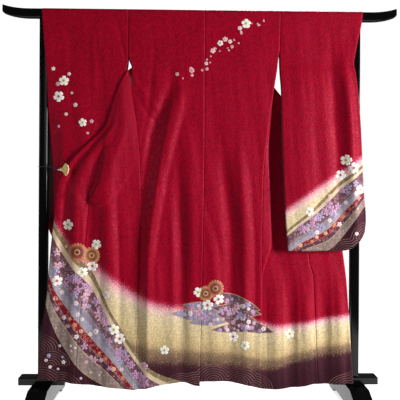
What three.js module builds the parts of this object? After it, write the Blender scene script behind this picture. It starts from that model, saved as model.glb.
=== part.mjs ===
// A long-sleeved kimono spread over a lacquered kimono stand, seen from its back.
// Millimetres, +Z up, origin on the floor at the middle of the stand. -Y is the side that shows the garment's back.
import * as THREE from "three";

// ---------------------------------------------------------------- driving dimensions
const CLOTH = 1.6; // thickness of every cloth wall
const SEAM = 0.6; // space between two pieces at a seam
const REST = 0.7; // space between the cloth and the bar it lies on

const BAR = { length: 1718, height: 38, depth: 38, top: 1734, round: 9, rise: 17, tip: 33, straight: 1480 };
const POST = { x: 680, width: 38, edge: 2, round: 4 };
const BOARD = { length: 200, depth: 60, low: 107, high: 139, edge: 3, round: 5 };
const FOOT = { width: 84, length: 540, top: 106.6, toe: 44, arch: 22, pad: 80, edge: 3 };
const JOINT = 0.3; // space between two wooden pieces

const FRONT_WIDTH = 240;
const COLLAR_WIDTH = 55;
const COLLAR_END = 910; // height of the collar's lower ends
const COLLAR_TIP = 45; // length over which its lower ends slant
const NECK_DROP = 74; // how far the collar band hangs down behind the bar
const NECK_TURN = 150; // length over which the band turns from the neck into the fronts
const OKUMI_TOP = 1350; // height of the okumi's upper point
const OKUMI = { top: 22, end: 95, hem: 150 }; // its width at that point, above and below the collar's end

// ---------------------------------------------------------------- outlines, a row for each height
// Side edges and centre seam of the back panels.
const BACK_EDGES = [
  { z: 1735, left: -315, centre: 17, right: 347 },
  { z: 1517, left: -313, centre: 17, right: 341 },
  { z: 1475, left: -298, centre: 17, right: 333 },
  { z: 1384, left: -297, centre: 17, right: 318 },
  { z: 1233, left: -276, centre: 17, right: 297 },
  { z: 1038, left: -260, centre: 16, right: 275 },
  { z: 850, left: -257, centre: 14, right: 270 },
  { z: 640, left: -260, centre: 11, right: 268 },
  { z: 347, left: -270, centre: 5, right: 268 },
  { z: 90, left: -281, centre: 2, right: 268 },
];
// How far the hanging cloth stands off the bar's front line.
const LEAN = [
  { z: 1735, out: 0 },
  { z: 1384, out: 5 },
  { z: 900, out: 12 },
  { z: 90, out: 20 },
];
// The large folds of the back, each a soft ridge (+) or trough (-) that runs through three points.
const BACK_FOLDS = [
  { z1: 1400, x1: -120, z2: 1110, x2: -205, z3: 650, x3: -250, depth: -15, wide: 26 },
  { z1: 1380, x1: -75, z2: 1060, x2: -150, z3: 600, x3: -210, depth: 11, wide: 30 },
  { z1: 1000, x1: -70, z2: 650, x2: -52, z3: 150, x3: -60, depth: -10, wide: 28 },
  { z1: 1200, x1: -30, z2: 700, x2: -12, z3: 100, x3: -20, depth: 8, wide: 26 },
  { z1: 1150, x1: 120, z2: 700, x2: 158, z3: 150, x3: 150, depth: -12, wide: 30 },
  { z1: 1250, x1: 190, z2: 750, x2: 215, z3: 120, x3: 215, depth: 9, wide: 28 },
  { z1: 700, x1: -190, z2: 400, x2: -200, z3: 90, x3: -215, depth: 9, wide: 34 },
  { z1: 800, x1: 70, z2: 450, x2: 80, z3: 90, x3: 70, depth: 7, wide: 34 },
];
const FOLD_START = 300; // length over which a fold grows from nothing
const BACK_HEM = {
  left: [
    { x: -281, z: 89 },
    { x: -233, z: 98 },
    { x: -147, z: 115 },
    { x: -69, z: 123 },
    { x: -13, z: 109 },
    { x: 2, z: 108 },
  ],
  right: [
    { x: 2, z: 127 },
    { x: 86, z: 128 },
    { x: 168, z: 118 },
    { x: 268, z: 96 },
  ],
};

// Left front: for each height on its side edge, where that edge is and where the free edge of the same row is.
const LEFT_ROWS = [
  { side: 1725, x0: -315, y0: 20.5, x1: -18, y1: 20.5, z1: 1725 },
  { side: 1690, x0: -315, y0: 20.8, x1: -32, y1: 21, z1: 1690 },
  { side: 1620, x0: -315, y0: 20.6, x1: -98, y1: 24, z1: 1628 },
  { side: 1550, x0: -315, y0: 20, x1: -182, y1: 25, z1: 1565 },
  { side: 1480, x0: -314, y0: 15, x1: -256, y1: 18, z1: 1512 },
  { side: 1425, x0: -308, y0: 0, x1: -307, y1: -2, z1: 1480 },
  { side: 1384, x0: -299, y0: -20, x1: -322, y1: -34, z1: 1458 },
  { side: 1330, x0: 0, y0: 0, x1: -352, y1: -42, z1: 1400 },
  { side: 1270, x0: 0, y0: 0, x1: -381, y1: -45, z1: 1320 },
  { side: 1200, x0: 0, y0: 0, x1: -404, y1: -46, z1: 1237 },
  { side: 1120, x0: 0, y0: 0, x1: -482, y1: -45, z1: 1153 },
  { side: 1040, x0: 0, y0: 0, x1: -563, y1: -42, z1: 1066 },
  { side: 960, x0: 0, y0: 0, x1: -612, y1: -42, z1: 960 },
  { side: 850, x0: 0, y0: 0, x1: -624, y1: -42, z1: 844 },
  { side: 680, x0: 0, y0: 0, x1: -641, y1: -43, z1: 677 },
  { side: 520, x0: 0, y0: 0, x1: -652, y1: -44, z1: 522 },
  { side: 370, x0: 0, y0: 0, x1: -673, y1: -45, z1: 371 },
  { side: 89, x0: 0, y0: 0, x1: -692, y1: -46, z1: 140 },
];
const LEFT_SEWN = 1360; // below this height the side edge follows the back panel
// Folds that fan out below the clip: place across the panel at the clip and at the hem, from side seam to free edge.
const LEFT_FOLDS = [
  { at1: 0.9, at2: 0.8, depth: -12, wide: 0.06 },
  { at1: 0.78, at2: 0.62, depth: 11, wide: 0.07 },
  { at1: 0.62, at2: 0.44, depth: -11, wide: 0.07 },
  { at1: 0.4, at2: 0.24, depth: 10, wide: 0.08 },
];
const LEFT_FOLD_TOP = 1300;
const GATHER = { z: 1480, length: 70, more: 5.5 }; // seams of the cloth gathered in the gap stand further apart
const LEFT_BULGE = 14; // how far the front stands off where it lies over the sleeve

// Right front: side seam, near turn and free edge, and the depth of the layers.
const RIGHT_ROWS = [
  { z: 1735, side: 347, turn: 347, edge: 52, y0: 20.5, yNear: 20.5, yFold: 20.5, yEdge: 20.5 },
  { z: 1725, side: 347, turn: 347, edge: 52, y0: 20.5, yNear: 20.5, yFold: 20.5, yEdge: 20.5 },
  { z: 1694, side: 346, turn: 346, edge: 64, y0: 20.7, yNear: 20.7, yFold: 23, yEdge: 27 },
  { z: 1645, side: 344, turn: 344, edge: 108, y0: 18, yNear: 18, yFold: 22, yEdge: 31 },
  { z: 1597, side: 343, turn: 343, edge: 196, y0: 13, yNear: 15, yFold: 21, yEdge: 32 },
  { z: 1503, side: 338, turn: 338, edge: 268, y0: 0, yNear: 4, yFold: 16, yEdge: 28 },
  { z: 1410, side: 322, turn: 322, edge: 325, y0: -13, yNear: -9, yFold: 8, yEdge: 20 },
  { z: 1340, side: 312, turn: 313, edge: 378, y0: 0, yNear: -15, yFold: 2, yEdge: 13 },
  { z: 1233, side: 297, turn: 306, edge: 455, y0: 0, yNear: -17, yFold: -4, yEdge: 6 },
  { z: 1126, side: 284, turn: 299, edge: 522, y0: 0, yNear: -19, yFold: -8, yEdge: 0 },
  { z: 907, side: 272, turn: 308, edge: 588, y0: 0, yNear: -21, yFold: -11, yEdge: -8 },
  { z: 720, side: 269, turn: 314, edge: 620, y0: 0, yNear: -23, yFold: -15, yEdge: -16 },
  { z: 640, side: 268, turn: 290, edge: 630, y0: 0, yNear: -28, yFold: -26, yEdge: -24 },
  { z: 560, side: 268, turn: 268, edge: 638, y0: 0, yNear: -32, yFold: -32, yEdge: -32 },
  { z: 300, side: 268, turn: 268, edge: 655, y0: 0, yNear: -37, yFold: -37, yEdge: -40 },
  { z: 90, side: 268, turn: 268, edge: 669, y0: 0, yNear: -40, yFold: -40, yEdge: -44 },
];
const RIGHT_SEWN = 1390; // height at which the side seam begins
const TUCK = 2.4; // how far behind the back panel a front turned inwards is sewn
const TURN = 7; // how far a turned edge reaches before its layers part
const RIGHT_HEM = [
  { arc: 0, z: 96 },
  { arc: 40, z: 93 },
  { arc: 170, z: 105 },
  { arc: 225, z: 115 },
  { arc: 400, z: 116 },
];
// Folds of the right front below the sleeve, by distance from the side seam.
const RIGHT_FOLDS = [
  { arc: 70, depth: 9, wide: 26 },
  { arc: 130, depth: -10, wide: 26 },
  { arc: 195, depth: 9, wide: 28 },
  { arc: 275, depth: -11, wide: 30 },
  { arc: 340, depth: 9, wide: 24 },
];
const RIGHT_FOLD_TOP = 660;

// Sleeves: inner edge, outer edges of the near and far layers, and the depth of each layer at both edges.
const LEFT_SLEEVE = [
  { z: 1735, inner: -315, near: -683, far: -683, nearIn: -20.5, nearOut: -20.5, farIn: 20.5, farOut: 20.5 },
  { z: 1600, inner: -315, near: -675, far: -675, nearIn: -21, nearOut: -23, farIn: 20.8, farOut: 22.5 },
  { z: 1540, inner: -315, near: -667, far: -664, nearIn: -22, nearOut: -24, farIn: 20, farOut: 22.5 },
  { z: 1503, inner: -316, near: -661, far: -657, nearIn: -23, nearOut: -23.5, farIn: 17, farOut: 19 },
  { z: 1475, inner: -325, near: -655, far: -655, nearIn: -24, nearOut: -16, farIn: 20, farOut: 4 },
  { z: 1440, inner: -327, near: -653, far: -653, nearIn: -25, nearOut: -8, farIn: 20, farOut: -5.2 },
  { z: 1350, inner: -326, near: -653, far: -653, nearIn: -26, nearOut: 0, farIn: 19, farOut: 2.8 },
  { z: 1200, inner: -322, near: -653, far: -653, nearIn: -26, nearOut: 12, farIn: 18, farOut: 14.8 },
  { z: 950, inner: -316, near: -653, far: -653, nearIn: -24, nearOut: 13, farIn: 16, farOut: 15.8 },
  { z: 690, inner: -312, near: -653, far: -653, nearIn: -14, nearOut: 8, farIn: -10, farOut: 10.8 },
];
const RIGHT_SLEEVE = [
  { z: 1735, inner: 347, near: 708, far: 708, nearIn: -20.5, nearOut: -20.5, farIn: 20.5, farOut: 20.5 },
  { z: 1725, inner: 347, near: 707, far: 700, nearIn: -20.5, nearOut: -20.5, farIn: 20.5, farOut: 20.5 },
  { z: 1694, inner: 346, near: 704, far: 652, nearIn: -20.7, nearOut: -21, farIn: 20.7, farOut: 21 },
  { z: 1600, inner: 344, near: 684, far: 645, nearIn: -21, nearOut: -24, farIn: 13, farOut: 2 },
  { z: 1545, inner: 342, near: 673, far: 650, nearIn: -23, nearOut: -27, farIn: 6, farOut: -14 },
  { z: 1503, inner: 342, near: 667, far: 665, nearIn: -25, nearOut: -29, farIn: 0, farOut: -24 },
  { z: 1470, inner: 344, near: 673, far: 673, nearIn: -30, nearOut: -31, farIn: -8, farOut: -28.2 },
  { z: 1381, inner: 349, near: 684, far: 684, nearIn: -38, nearOut: -34, farIn: -20, farOut: -31.2 },
  { z: 1245, inner: 351, near: 694, far: 694, nearIn: -45, nearOut: -40, farIn: -26, farOut: -37.2 },
  { z: 952, inner: 362, near: 708, far: 708, nearIn: -54, nearOut: -46, farIn: -34, farOut: -43.2 },
  { z: 828, inner: 368, near: 717, far: 717, nearIn: -55, nearOut: -47, farIn: -40, farOut: -44.2 },
  { z: 690, inner: 379, near: 717, far: 717, nearIn: -56, nearOut: -48, farIn: -52, farOut: -44.2 },
];
const SLEEVE_FOLDS = {
  left: [
    { at: 0.3, depth: -7, wide: 0.09 },
    { at: 0.55, depth: 6, wide: 0.1 },
  ],
  right: [
    { at: 0.28, depth: 7, wide: 0.1 },
    { at: 0.52, depth: -6, wide: 0.09 },
    { at: 0.8, depth: -12, wide: 0.07 },
    { at: 0.93, depth: 7, wide: 0.07 },
  ],
};
const FAR_FOLDS = 0.3; // share of each fold that shows in the far layer
const SLEEVE_BOTTOM = 694;
const SLEEVE_CORNER = 115; // radius of the rounded outer corner
const SLEEVE_ROLL = 0.82; // where the layers begin to close towards the outer edge

// ---------------------------------------------------------------- small helpers
const lerp = THREE.MathUtils.lerp;
const clamp01 = (t) => Math.min(1, Math.max(0, t));
const soft = (a, b, t) => {
  const f = clamp01((t - a) / (b - a));
  return f * f * (3 - 2 * f);
};
const bump = (distance, wide) => Math.exp(-((distance / wide) ** 2));
const steps = (n) => Array.from({ length: n + 1 }, (_, i) => i / n);

// The value of one column of a table where its key column has the value `at`: a curve through the rows that
// never swings past them.
function along(table, key, column, at) {
  const down = table[0][key] > table[table.length - 1][key];
  const rows = down ? [...table].reverse() : table;
  const last = rows.length - 1;
  if (at <= rows[0][key]) return rows[0][column];
  if (at >= rows[last][key]) return rows[last][column];
  const i = rows.findIndex((row) => row[key] > at) - 1;
  const slope = (j) => (rows[j + 1][column] - rows[j][column]) / (rows[j + 1][key] - rows[j][key]);
  const tangent = (j) => {
    if (j === 0) return slope(0);
    if (j === last) return slope(last - 1);
    const [a, b] = [slope(j - 1), slope(j)];
    return a * b > 0 ? (2 * a * b) / (a + b) : 0;
  };
  const step = rows[i + 1][key] - rows[i][key];
  const t = (at - rows[i][key]) / step;
  return (
    rows[i][column] * (1 + 2 * t) * (1 - t) ** 2 +
    step * tangent(i) * t * (1 - t) ** 2 +
    rows[i + 1][column] * t * t * (3 - 2 * t) +
    step * tangent(i + 1) * t * t * (t - 1)
  );
}

// Cloth over the bar: the point at a distance `s` from the middle of the bar's top, on the near (-1) or far (+1) side.
const LIFT = REST + CLOTH / 2;
const FLAT = BAR.depth / 2 - BAR.round;
const BEND = BAR.round + LIFT;
const BEND_END = FLAT + (BEND * Math.PI) / 2;
const HANG_TOP = BAR.top - BAR.round;
const HANG_Y = BAR.depth / 2 + LIFT;
const OVER_BAR = [SEAM / 2, ...steps(3).map((f) => lerp(FLAT, BEND_END, f))];

function overBar(s, side) {
  if (s < FLAT) return { y: side * s, z: BAR.top + LIFT };
  const angle = Math.min((s - FLAT) / BEND, Math.PI / 2);
  return {
    y: side * (FLAT + BEND * Math.sin(angle)),
    z: HANG_TOP + BEND * Math.cos(angle) - Math.max(0, s - BEND_END),
  };
}
const lengthTo = (z) => BEND_END + HANG_TOP - z;
const spread = (from, to, n) => steps(n).slice(1).map((f) => lerp(from, to, f));
// Distances down a panel: over the bar, to its underside, and then in even steps between the heights where
// neighbouring pieces begin and end, so that both sides of a seam have the same points.
const UPPER = [...OVER_BAR, lengthTo(BAR.top - BAR.height - 2)];
UPPER.push(...spread(UPPER[UPPER.length - 1], lengthTo(OKUMI_TOP), 7));
const MIDDLE = [...spread(lengthTo(OKUMI_TOP), lengthTo(COLLAR_END + COLLAR_TIP), 7), lengthTo(COLLAR_END)];
const levels = (end) => [...UPPER, ...MIDDLE, ...spread(lengthTo(COLLAR_END), end, 10)];

// ---------------------------------------------------------------- cloth surfaces
function backDepth(x, z) {
  let out = along(LEAN, "z", "out", z);
  for (const fold of BACK_FOLDS) {
    const path = [
      { z: fold.z1, x: fold.x1 },
      { z: fold.z2, x: fold.x2 },
      { z: fold.z3, x: fold.x3 },
    ];
    const grown = soft(fold.z1 + FOLD_START / 2, fold.z1 - FOLD_START / 2, z);
    out += fold.depth * grown * bump(x - along(path, "z", "x", z), fold.wide);
  }
  return out;
}

function backPoint(edgeA, edgeB, u, s) {
  const at = overBar(s, -1);
  const a = along(BACK_EDGES, "z", edgeA, at.z) + SEAM / 2;
  const b = along(BACK_EDGES, "z", edgeB, at.z) - SEAM / 2;
  const x = lerp(a, b, u);
  return new THREE.Vector3(x, at.y - backDepth(x, at.z), at.z);
}

function backPanel(edgeA, edgeB, hem, across) {
  const low = BACK_EDGES[BACK_EDGES.length - 1];
  return steps(across).map((u) => {
    const end = lengthTo(along(hem, "x", "z", lerp(low[edgeA], low[edgeB], u)));
    return levels(end).map((s) => backPoint(edgeA, edgeB, u, s));
  });
}

// Left front, okumi and collar: u runs from the side seam (0) to the free edge (1), s down the side edge.
function leftPoint(u, s) {
  if (s < BEND_END) {
    const at = overBar(s, 1);
    const top = LEFT_ROWS[0];
    return new THREE.Vector3(lerp(top.x0 + SEAM / 2, top.x1, u), at.y, at.z);
  }
  const side = HANG_TOP + BEND_END - s;
  const row = (column) => along(LEFT_ROWS, "side", column, side);
  const seamX = along(BACK_EDGES, "z", "left", side) - SEAM / 2;
  const seamY = -HANG_Y - backDepth(seamX, side);
  const sewn = side <= LEFT_SEWN;
  const blend = soft(1425, LEFT_SEWN, side);
  const free = LEFT_ROWS.filter((r) => r.x0 !== 0);
  const x0 = sewn ? seamX : lerp(along(free, "side", "x0", side), seamX, blend);
  const y0 = sewn ? seamY : lerp(along(free, "side", "y0", side), seamY, blend);
  const p = new THREE.Vector3(lerp(x0, row("x1"), u), lerp(y0, row("y1"), u), lerp(side, row("z1"), u));
  p.y -= LEFT_BULGE * Math.sin(Math.PI * u) * soft(1400, 1250, side) * soft(560, 760, side);
  const low = soft(LEFT_FOLD_TOP, LEFT_FOLD_TOP - 500, side);
  const fan = clamp01((1040 - side) / 950);
  for (const fold of LEFT_FOLDS)
    p.y -= fold.depth * low * bump(u - lerp(fold.at1, fold.at2, fan), fold.wide) * soft(0, 0.12, u) * soft(1, 0.9, u);
  return p;
}

// Right front, okumi and collar: a strip of cloth whose plan at each height runs from the side seam to the near
// turn, back behind the panel to a fold, and out again to the free edge. `arc` is the distance along it.
function rightPath(z, width) {
  const row = (column) => along(RIGHT_ROWS, "z", column, z);
  const side = row("side") + (z < RIGHT_SEWN ? SEAM / 2 : -SEAM / 2);
  const turn = Math.max(row("turn"), side);
  const edge = row("edge");
  const open = soft(650, 565, z);
  const fold = lerp((2 * turn - side + edge - width) / 2, turn, open);
  const sewn = soft(1410, 1340, z);
  const tuck = TUCK * (1 - clamp01((turn - side) / 15)) * (1 - open);
  const y0 = lerp(row("y0"), -HANG_Y - backDepth(side, z) + tuck, sewn);
  const near = row("yNear");
  const behind = row("yFold");
  const r1 = Math.min(TURN, (turn - side) / 2);
  const r2 = Math.max(0, Math.min(TURN, (turn - fold) / 2, (edge - fold) / 2));
  return [
    [side, y0],
    [turn - r1, y0],
    [turn, lerp(y0, near, 0.5)],
    [turn - r1, near],
    [fold + r2, behind - r2 * 0.7],
    [fold, behind],
    [fold + r2, behind + r2 * 0.7],
    [edge, row("yEdge")],
  ];
}

function okumiWidth(z) {
  if (z > OKUMI_TOP) return 0;
  if (z > COLLAR_END) return lerp(OKUMI.end, OKUMI.top, (z - COLLAR_END) / (OKUMI_TOP - COLLAR_END));
  return OKUMI.hem;
}
const collarWidth = (z) => (z > COLLAR_END ? COLLAR_WIDTH : 0);
const sheetWidth = (z) => FRONT_WIDTH + okumiWidth(z) + collarWidth(z);

function rightPoint(u, s) {
  const at = overBar(s, 1);
  const width = sheetWidth(at.z);
  const path = rightPath(at.z, width);
  const spans = path.slice(1).map((p, i) => Math.hypot(p[0] - path[i][0], p[1] - path[i][1]));
  const total = spans.reduce((a, b) => a + b, 0);
  let rest = clamp01(u) * total;
  let i = 0;
  while (i < spans.length - 1 && rest > spans[i]) rest -= spans[i++];
  const f = spans[i] > 0 ? rest / spans[i] : 0;
  const p = new THREE.Vector3(lerp(path[i][0], path[i + 1][0], f), lerp(path[i][1], path[i + 1][1], f), at.z);
  if (s < BEND_END) p.y = at.y;
  const low = soft(RIGHT_FOLD_TOP, RIGHT_FOLD_TOP - 350, at.z);
  for (const fold of RIGHT_FOLDS)
    p.y -= fold.depth * low * bump(u * total - fold.arc, fold.wide) * soft(0, 0.1, u) * soft(1, 0.94, u);
  return p;
}

// The share of the sheet's width, from the side seam, at which the front ends and the collar begins.
const frontShare = (z) => FRONT_WIDTH / sheetWidth(z);
function collarShare(z) {
  if (z >= COLLAR_END + COLLAR_TIP) return 1 - COLLAR_WIDTH / sheetWidth(z);
  const start = 1 - COLLAR_WIDTH / sheetWidth(COLLAR_END + COLLAR_TIP);
  return lerp(1, start, clamp01((z - COLLAR_END) / COLLAR_TIP));
}
// The front, okumi and collar meet on lines of the same sheet. `share` picks a line and `side` the piece: -1 before
// the seam and +1 after it.
function seamPoint(point, share, side, s) {
  const row = point(1, s).sub(point(0, s));
  const line = point(share, s + 4).sub(point(share, Math.max(0, s - 4)));
  const width = row.cross(line).length() / line.length();
  const gathered = point === leftPoint ? 1 + GATHER.more * bump(lengthTo(GATHER.z) - s, GATHER.length) : 1;
  return clamp01(share + (side * gathered * SEAM) / 2 / Math.max(width, 20));
}

// A grid of a front sheet between two lines.
function frontPanel(point, from, to, rowsOf, across) {
  return steps(across).map((f) =>
    rowsOf(f).map((s) => {
      const z = HANG_TOP + BEND_END - s;
      return point(lerp(from(z, s), to(z, s), f), s);
    }),
  );
}

// ---------------------------------------------------------------- sleeves
function sleeveRing(table, folds, u) {
  const low = table[table.length - 1];
  const out = Math.abs(low.near - low.inner) * (1 - u);
  const drop = out < SLEEVE_CORNER ? SLEEVE_CORNER - Math.sqrt(SLEEVE_CORNER ** 2 - (SLEEVE_CORNER - out) ** 2) : 0;
  const end = lengthTo(SLEEVE_BOTTOM + drop);
  const layer = (s, side) => {
    const at = overBar(s, side);
    const value = (column) => along(table, "z", column, at.z);
    const name = side < 0 ? "near" : "far";
    const edge = soft(SLEEVE_ROLL, 1, u);
    const inset = Math.sign(low.near) * (SEAM / 2);
    const x = lerp(value("inner") + inset, value(name), u);
    let y = lerp(value(name + "In"), value(name + "Out"), edge);
    const grown = soft(1640, 1300, at.z) * soft(SLEEVE_BOTTOM, SLEEVE_BOTTOM + 200, at.z) * soft(1, 0.9, u);
    const share = side < 0 ? 1 : FAR_FOLDS;
    for (const fold of folds) y -= share * fold.depth * grown * bump(u - fold.at, fold.wide);
    return new THREE.Vector3(x, s < BEND_END ? at.y : y, at.z);
  };
  const depths = [...UPPER, ...spread(lengthTo(OKUMI_TOP), end, 9)];
  const near = depths.slice(1).map((s) => layer(s, -1));
  const far = depths.slice(1).map((s) => layer(s, 1));
  const top = layer(0, -1);
  const bottom = near[near.length - 1].clone().lerp(far[far.length - 1], 0.5);
  bottom.z -= CLOTH;
  return [top, ...near, bottom, ...far.reverse()];
}

// ---------------------------------------------------------------- collar
const ACROSS_COLLAR = [...OVER_BAR, 50, NECK_DROP];

// One row across the band, from its seam to its free edge. Near the neck the free edge lies lower than the seam.
function collarRow(point, s) {
  const slant = 0.25 * s * Math.max(0, 1 - s / NECK_TURN);
  return ACROSS_COLLAR.map((across) => {
    const w = (across - SEAM / 2) / (NECK_DROP - SEAM / 2);
    const down = Math.max(across, s) + slant * w;
    const inner = seamPoint(point, collarShare(HANG_TOP + BEND_END - down), 1, down);
    return point(lerp(inner, 1, w), down);
  });
}

function collarRows() {
  const downs = [...UPPER, ...MIDDLE.slice(0, -1), lengthTo(COLLAR_END + 5)];
  const left = downs.map((s) => collarRow(leftPoint, s)).reverse();
  const right = downs.map((s) => collarRow(rightPoint, s));
  const [a, b] = [left[left.length - 1], right[0]];
  const neck = steps(6)
    .slice(1, -1)
    .map((f) => a.map((p, j) => p.clone().lerp(b[j], f)));
  return [...left, ...neck, ...right];
}

// ---------------------------------------------------------------- mesh makers
const group = new THREE.Group();
const paint = (color, roughness, metalness = 0) => new THREE.MeshStandardMaterial({ color, roughness, metalness });
const RED_SILK = paint(0xa80f22, 0.55);
const LACQUER = paint(0x0c0b0d, 0.12);
const GILT = paint(0xc9a24a, 0.3, 0.9);
const SILVER = paint(0xb9bcc4, 0.25, 0.9);
const NAVY_CORD = paint(0x26264a, 0.7);

function add(name, geometry, material, place = [0, 0, 0], turn = [0, 0, 0]) {
  const mesh = new THREE.Mesh(geometry, material);
  mesh.name = name;
  mesh.position.set(...place);
  mesh.rotation.set(...turn);
  group.add(mesh);
}

// A wall of cloth round a surface given as a grid of points; `ring` joins the last point of each row to the first.
function clothWall(grid, ring = false) {
  const [n, m] = [grid.length, grid[0].length];
  const wrap = (j) => (ring ? (j + m) % m : Math.min(m - 1, Math.max(0, j)));
  const at = (i, j) => grid[Math.min(n - 1, Math.max(0, i))][wrap(j)];
  const outer = [];
  const inner = [];
  for (let i = 0; i < n; i++)
    for (let j = 0; j < m; j++) {
      const du = at(i + 1, j).clone().sub(at(i - 1, j));
      const dv = at(i, j + 1).clone().sub(at(i, j - 1));
      const normal = du.cross(dv).normalize();
      outer.push(...grid[i][j].clone().addScaledVector(normal, CLOTH / 2).toArray());
      inner.push(...grid[i][j].clone().addScaledVector(normal, -CLOTH / 2).toArray());
    }
  const index = [];
  const shift = n * m;
  const id = (i, j) => i * m + wrap(j);
  const quad = (a, b, c, d) => index.push(a, b, c, a, c, d);
  const columns = ring ? m : m - 1;
  for (let i = 0; i < n - 1; i++)
    for (let j = 0; j < columns; j++) {
      quad(id(i, j), id(i + 1, j), id(i + 1, j + 1), id(i, j + 1));
      quad(id(i, j) + shift, id(i, j + 1) + shift, id(i + 1, j + 1) + shift, id(i + 1, j) + shift);
    }
  for (let j = 0; j < columns; j++) {
    quad(id(0, j), id(0, j + 1), id(0, j + 1) + shift, id(0, j) + shift);
    quad(id(n - 1, j + 1), id(n - 1, j), id(n - 1, j) + shift, id(n - 1, j + 1) + shift);
  }
  if (!ring)
    for (let i = 0; i < n - 1; i++) {
      quad(id(i + 1, 0), id(i, 0), id(i, 0) + shift, id(i + 1, 0) + shift);
      quad(id(i, m - 1), id(i + 1, m - 1), id(i + 1, m - 1) + shift, id(i, m - 1) + shift);
    }
  const geometry = new THREE.BufferGeometry();
  geometry.setAttribute("position", new THREE.Float32BufferAttribute([...outer, ...inner], 3));
  geometry.setIndex(index);
  geometry.computeVertexNormals();
  return geometry;
}

// A flat outline given thickness, with rounded edges; the outline stays the greatest size.
function plate(shape, thickness, edge, rounds = 2, curveSegments = 6) {
  return new THREE.ExtrudeGeometry(shape, {
    depth: thickness - 2 * edge,
    bevelEnabled: edge > 0,
    bevelSize: edge,
    bevelOffset: -edge,
    bevelThickness: edge,
    bevelSegments: rounds,
    curveSegments,
  });
}

function rectangle(width, height, round) {
  const [x, y] = [width / 2 - round, height / 2 - round];
  const shape = new THREE.Shape();
  [[x, -y, -1], [x, y, 0], [-x, y, 1], [-x, -y, 2]].forEach(([cx, cy, quarter]) =>
    shape.absarc(cx, cy, round, (quarter * Math.PI) / 2, ((quarter + 1) * Math.PI) / 2, false),
  );
  return shape;
}

// ---------------------------------------------------------------- the garment
const SLEEVE_STEPS = [...steps(6).map((f) => f * 0.78), 0.85, 0.9, 0.94, 0.975, 1];

function buildGarment() {
  const backs = { left: ["left", "centre"], right: ["centre", "right"] };
  for (const [side, edges] of Object.entries(backs))
    add(side + "_back", clothWall(backPanel(...edges, BACK_HEM[side], 10)), RED_SILK);

  const okumiStart = UPPER.length - 1;
  const hemEnds = {
    left: () => lengthTo(LEFT_ROWS[LEFT_ROWS.length - 1].side),
    right: (arc) => lengthTo(along(RIGHT_HEM, "arc", "z", arc)),
  };
  const columns = { left: { front: 8, okumi: 4 }, right: { front: 13, okumi: 6 } };
  for (const [side, point] of Object.entries({ left: leftPoint, right: rightPoint })) {
    const end = hemEnds[side];
    const seam = (share, way) => (z, s) => seamPoint(point, share(z), way, s);
    const upperEnd = (z) => (z > OKUMI_TOP + 1 ? collarShare(z) : frontShare(z));
    const frontRows = (f) => levels(end(f * FRONT_WIDTH));
    const okumiRows = (f) => levels(end(FRONT_WIDTH + f * OKUMI.hem)).slice(okumiStart);
    const front = frontPanel(point, () => 0, seam(upperEnd, -1), frontRows, columns[side].front);
    add(side + "_front", clothWall(front), RED_SILK);
    const okumi = frontPanel(point, seam(frontShare, 1), seam(collarShare, -1), okumiRows, columns[side].okumi);
    add(side + "_okumi", clothWall(okumi), RED_SILK);
  }

  for (const [side, table] of Object.entries({ left: LEFT_SLEEVE, right: RIGHT_SLEEVE })) {
    const grid = SLEEVE_STEPS.map((u) => sleeveRing(table, SLEEVE_FOLDS[side], u));
    add(side + "_sleeve", clothWall(grid, true), RED_SILK);
  }
  add("collar", clothWall(collarRows()), RED_SILK);
}

// ---------------------------------------------------------------- the stand
function buildStand() {
  const end = BAR.length / 2;
  const [straight, top, low] = [BAR.straight / 2, BAR.top, BAR.top - BAR.height];
  const bar = new THREE.Shape();
  bar.moveTo(-straight, low);
  bar.lineTo(straight, low);
  bar.quadraticCurveTo(lerp(straight, end, 0.6), low, end, top + BAR.rise - BAR.tip);
  bar.lineTo(end, top + BAR.rise);
  bar.quadraticCurveTo(lerp(straight, end, 0.6), top, straight, top);
  bar.lineTo(-straight, top);
  bar.quadraticCurveTo(-lerp(straight, end, 0.6), top, -end, top + BAR.rise);
  bar.lineTo(-end, top + BAR.rise - BAR.tip);
  bar.quadraticCurveTo(-lerp(straight, end, 0.6), low, -straight, low);
  const upright = [Math.PI / 2, 0, 0];
  add("top_bar", plate(bar, BAR.depth, BAR.round, 4), LACQUER, [0, BAR.depth / 2 - BAR.round, 0], upright);

  const postLow = BOARD.high + JOINT;
  const postHigh = low - JOINT;
  const foot = new THREE.Shape();
  const half = FOOT.length / 2;
  const padIn = half - FOOT.pad;
  foot.moveTo(-half + 8, 0);
  foot.lineTo(-padIn, 0);
  foot.quadraticCurveTo(-padIn + 16, FOOT.arch, -padIn + 60, FOOT.arch);
  foot.lineTo(padIn - 60, FOOT.arch);
  foot.quadraticCurveTo(padIn - 16, FOOT.arch, padIn, 0);
  foot.lineTo(half - 8, 0);
  foot.quadraticCurveTo(half + 1, FOOT.toe * 0.4, half - 6, FOOT.toe);
  foot.quadraticCurveTo(half - 90, FOOT.toe + 14, 90, FOOT.top);
  foot.lineTo(-90, FOOT.top);
  foot.quadraticCurveTo(-half + 90, FOOT.toe + 14, -half + 6, FOOT.toe);
  foot.quadraticCurveTo(-half - 1, FOOT.toe * 0.4, -half + 8, 0);
  for (const [side, x] of [["left", -POST.x], ["right", POST.x]]) {
    const post = plate(rectangle(POST.width, POST.width, POST.round), postHigh - postLow, POST.edge, 1, 2);
    add(side + "_post", post, LACQUER, [x, 0, postLow + POST.edge]);
    const board = plate(rectangle(BOARD.length, BOARD.depth, BOARD.round), BOARD.high - BOARD.low, BOARD.edge, 2, 2);
    add(side + "_board", board, LACQUER, [x, 0, BOARD.low + BOARD.edge]);
    const place = [x - FOOT.width / 2 + FOOT.edge, 0, 0];
    add(side + "_foot", plate(foot, FOOT.width, FOOT.edge), LACQUER, place, [Math.PI / 2, Math.PI / 2, 0]);
  }
}

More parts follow.
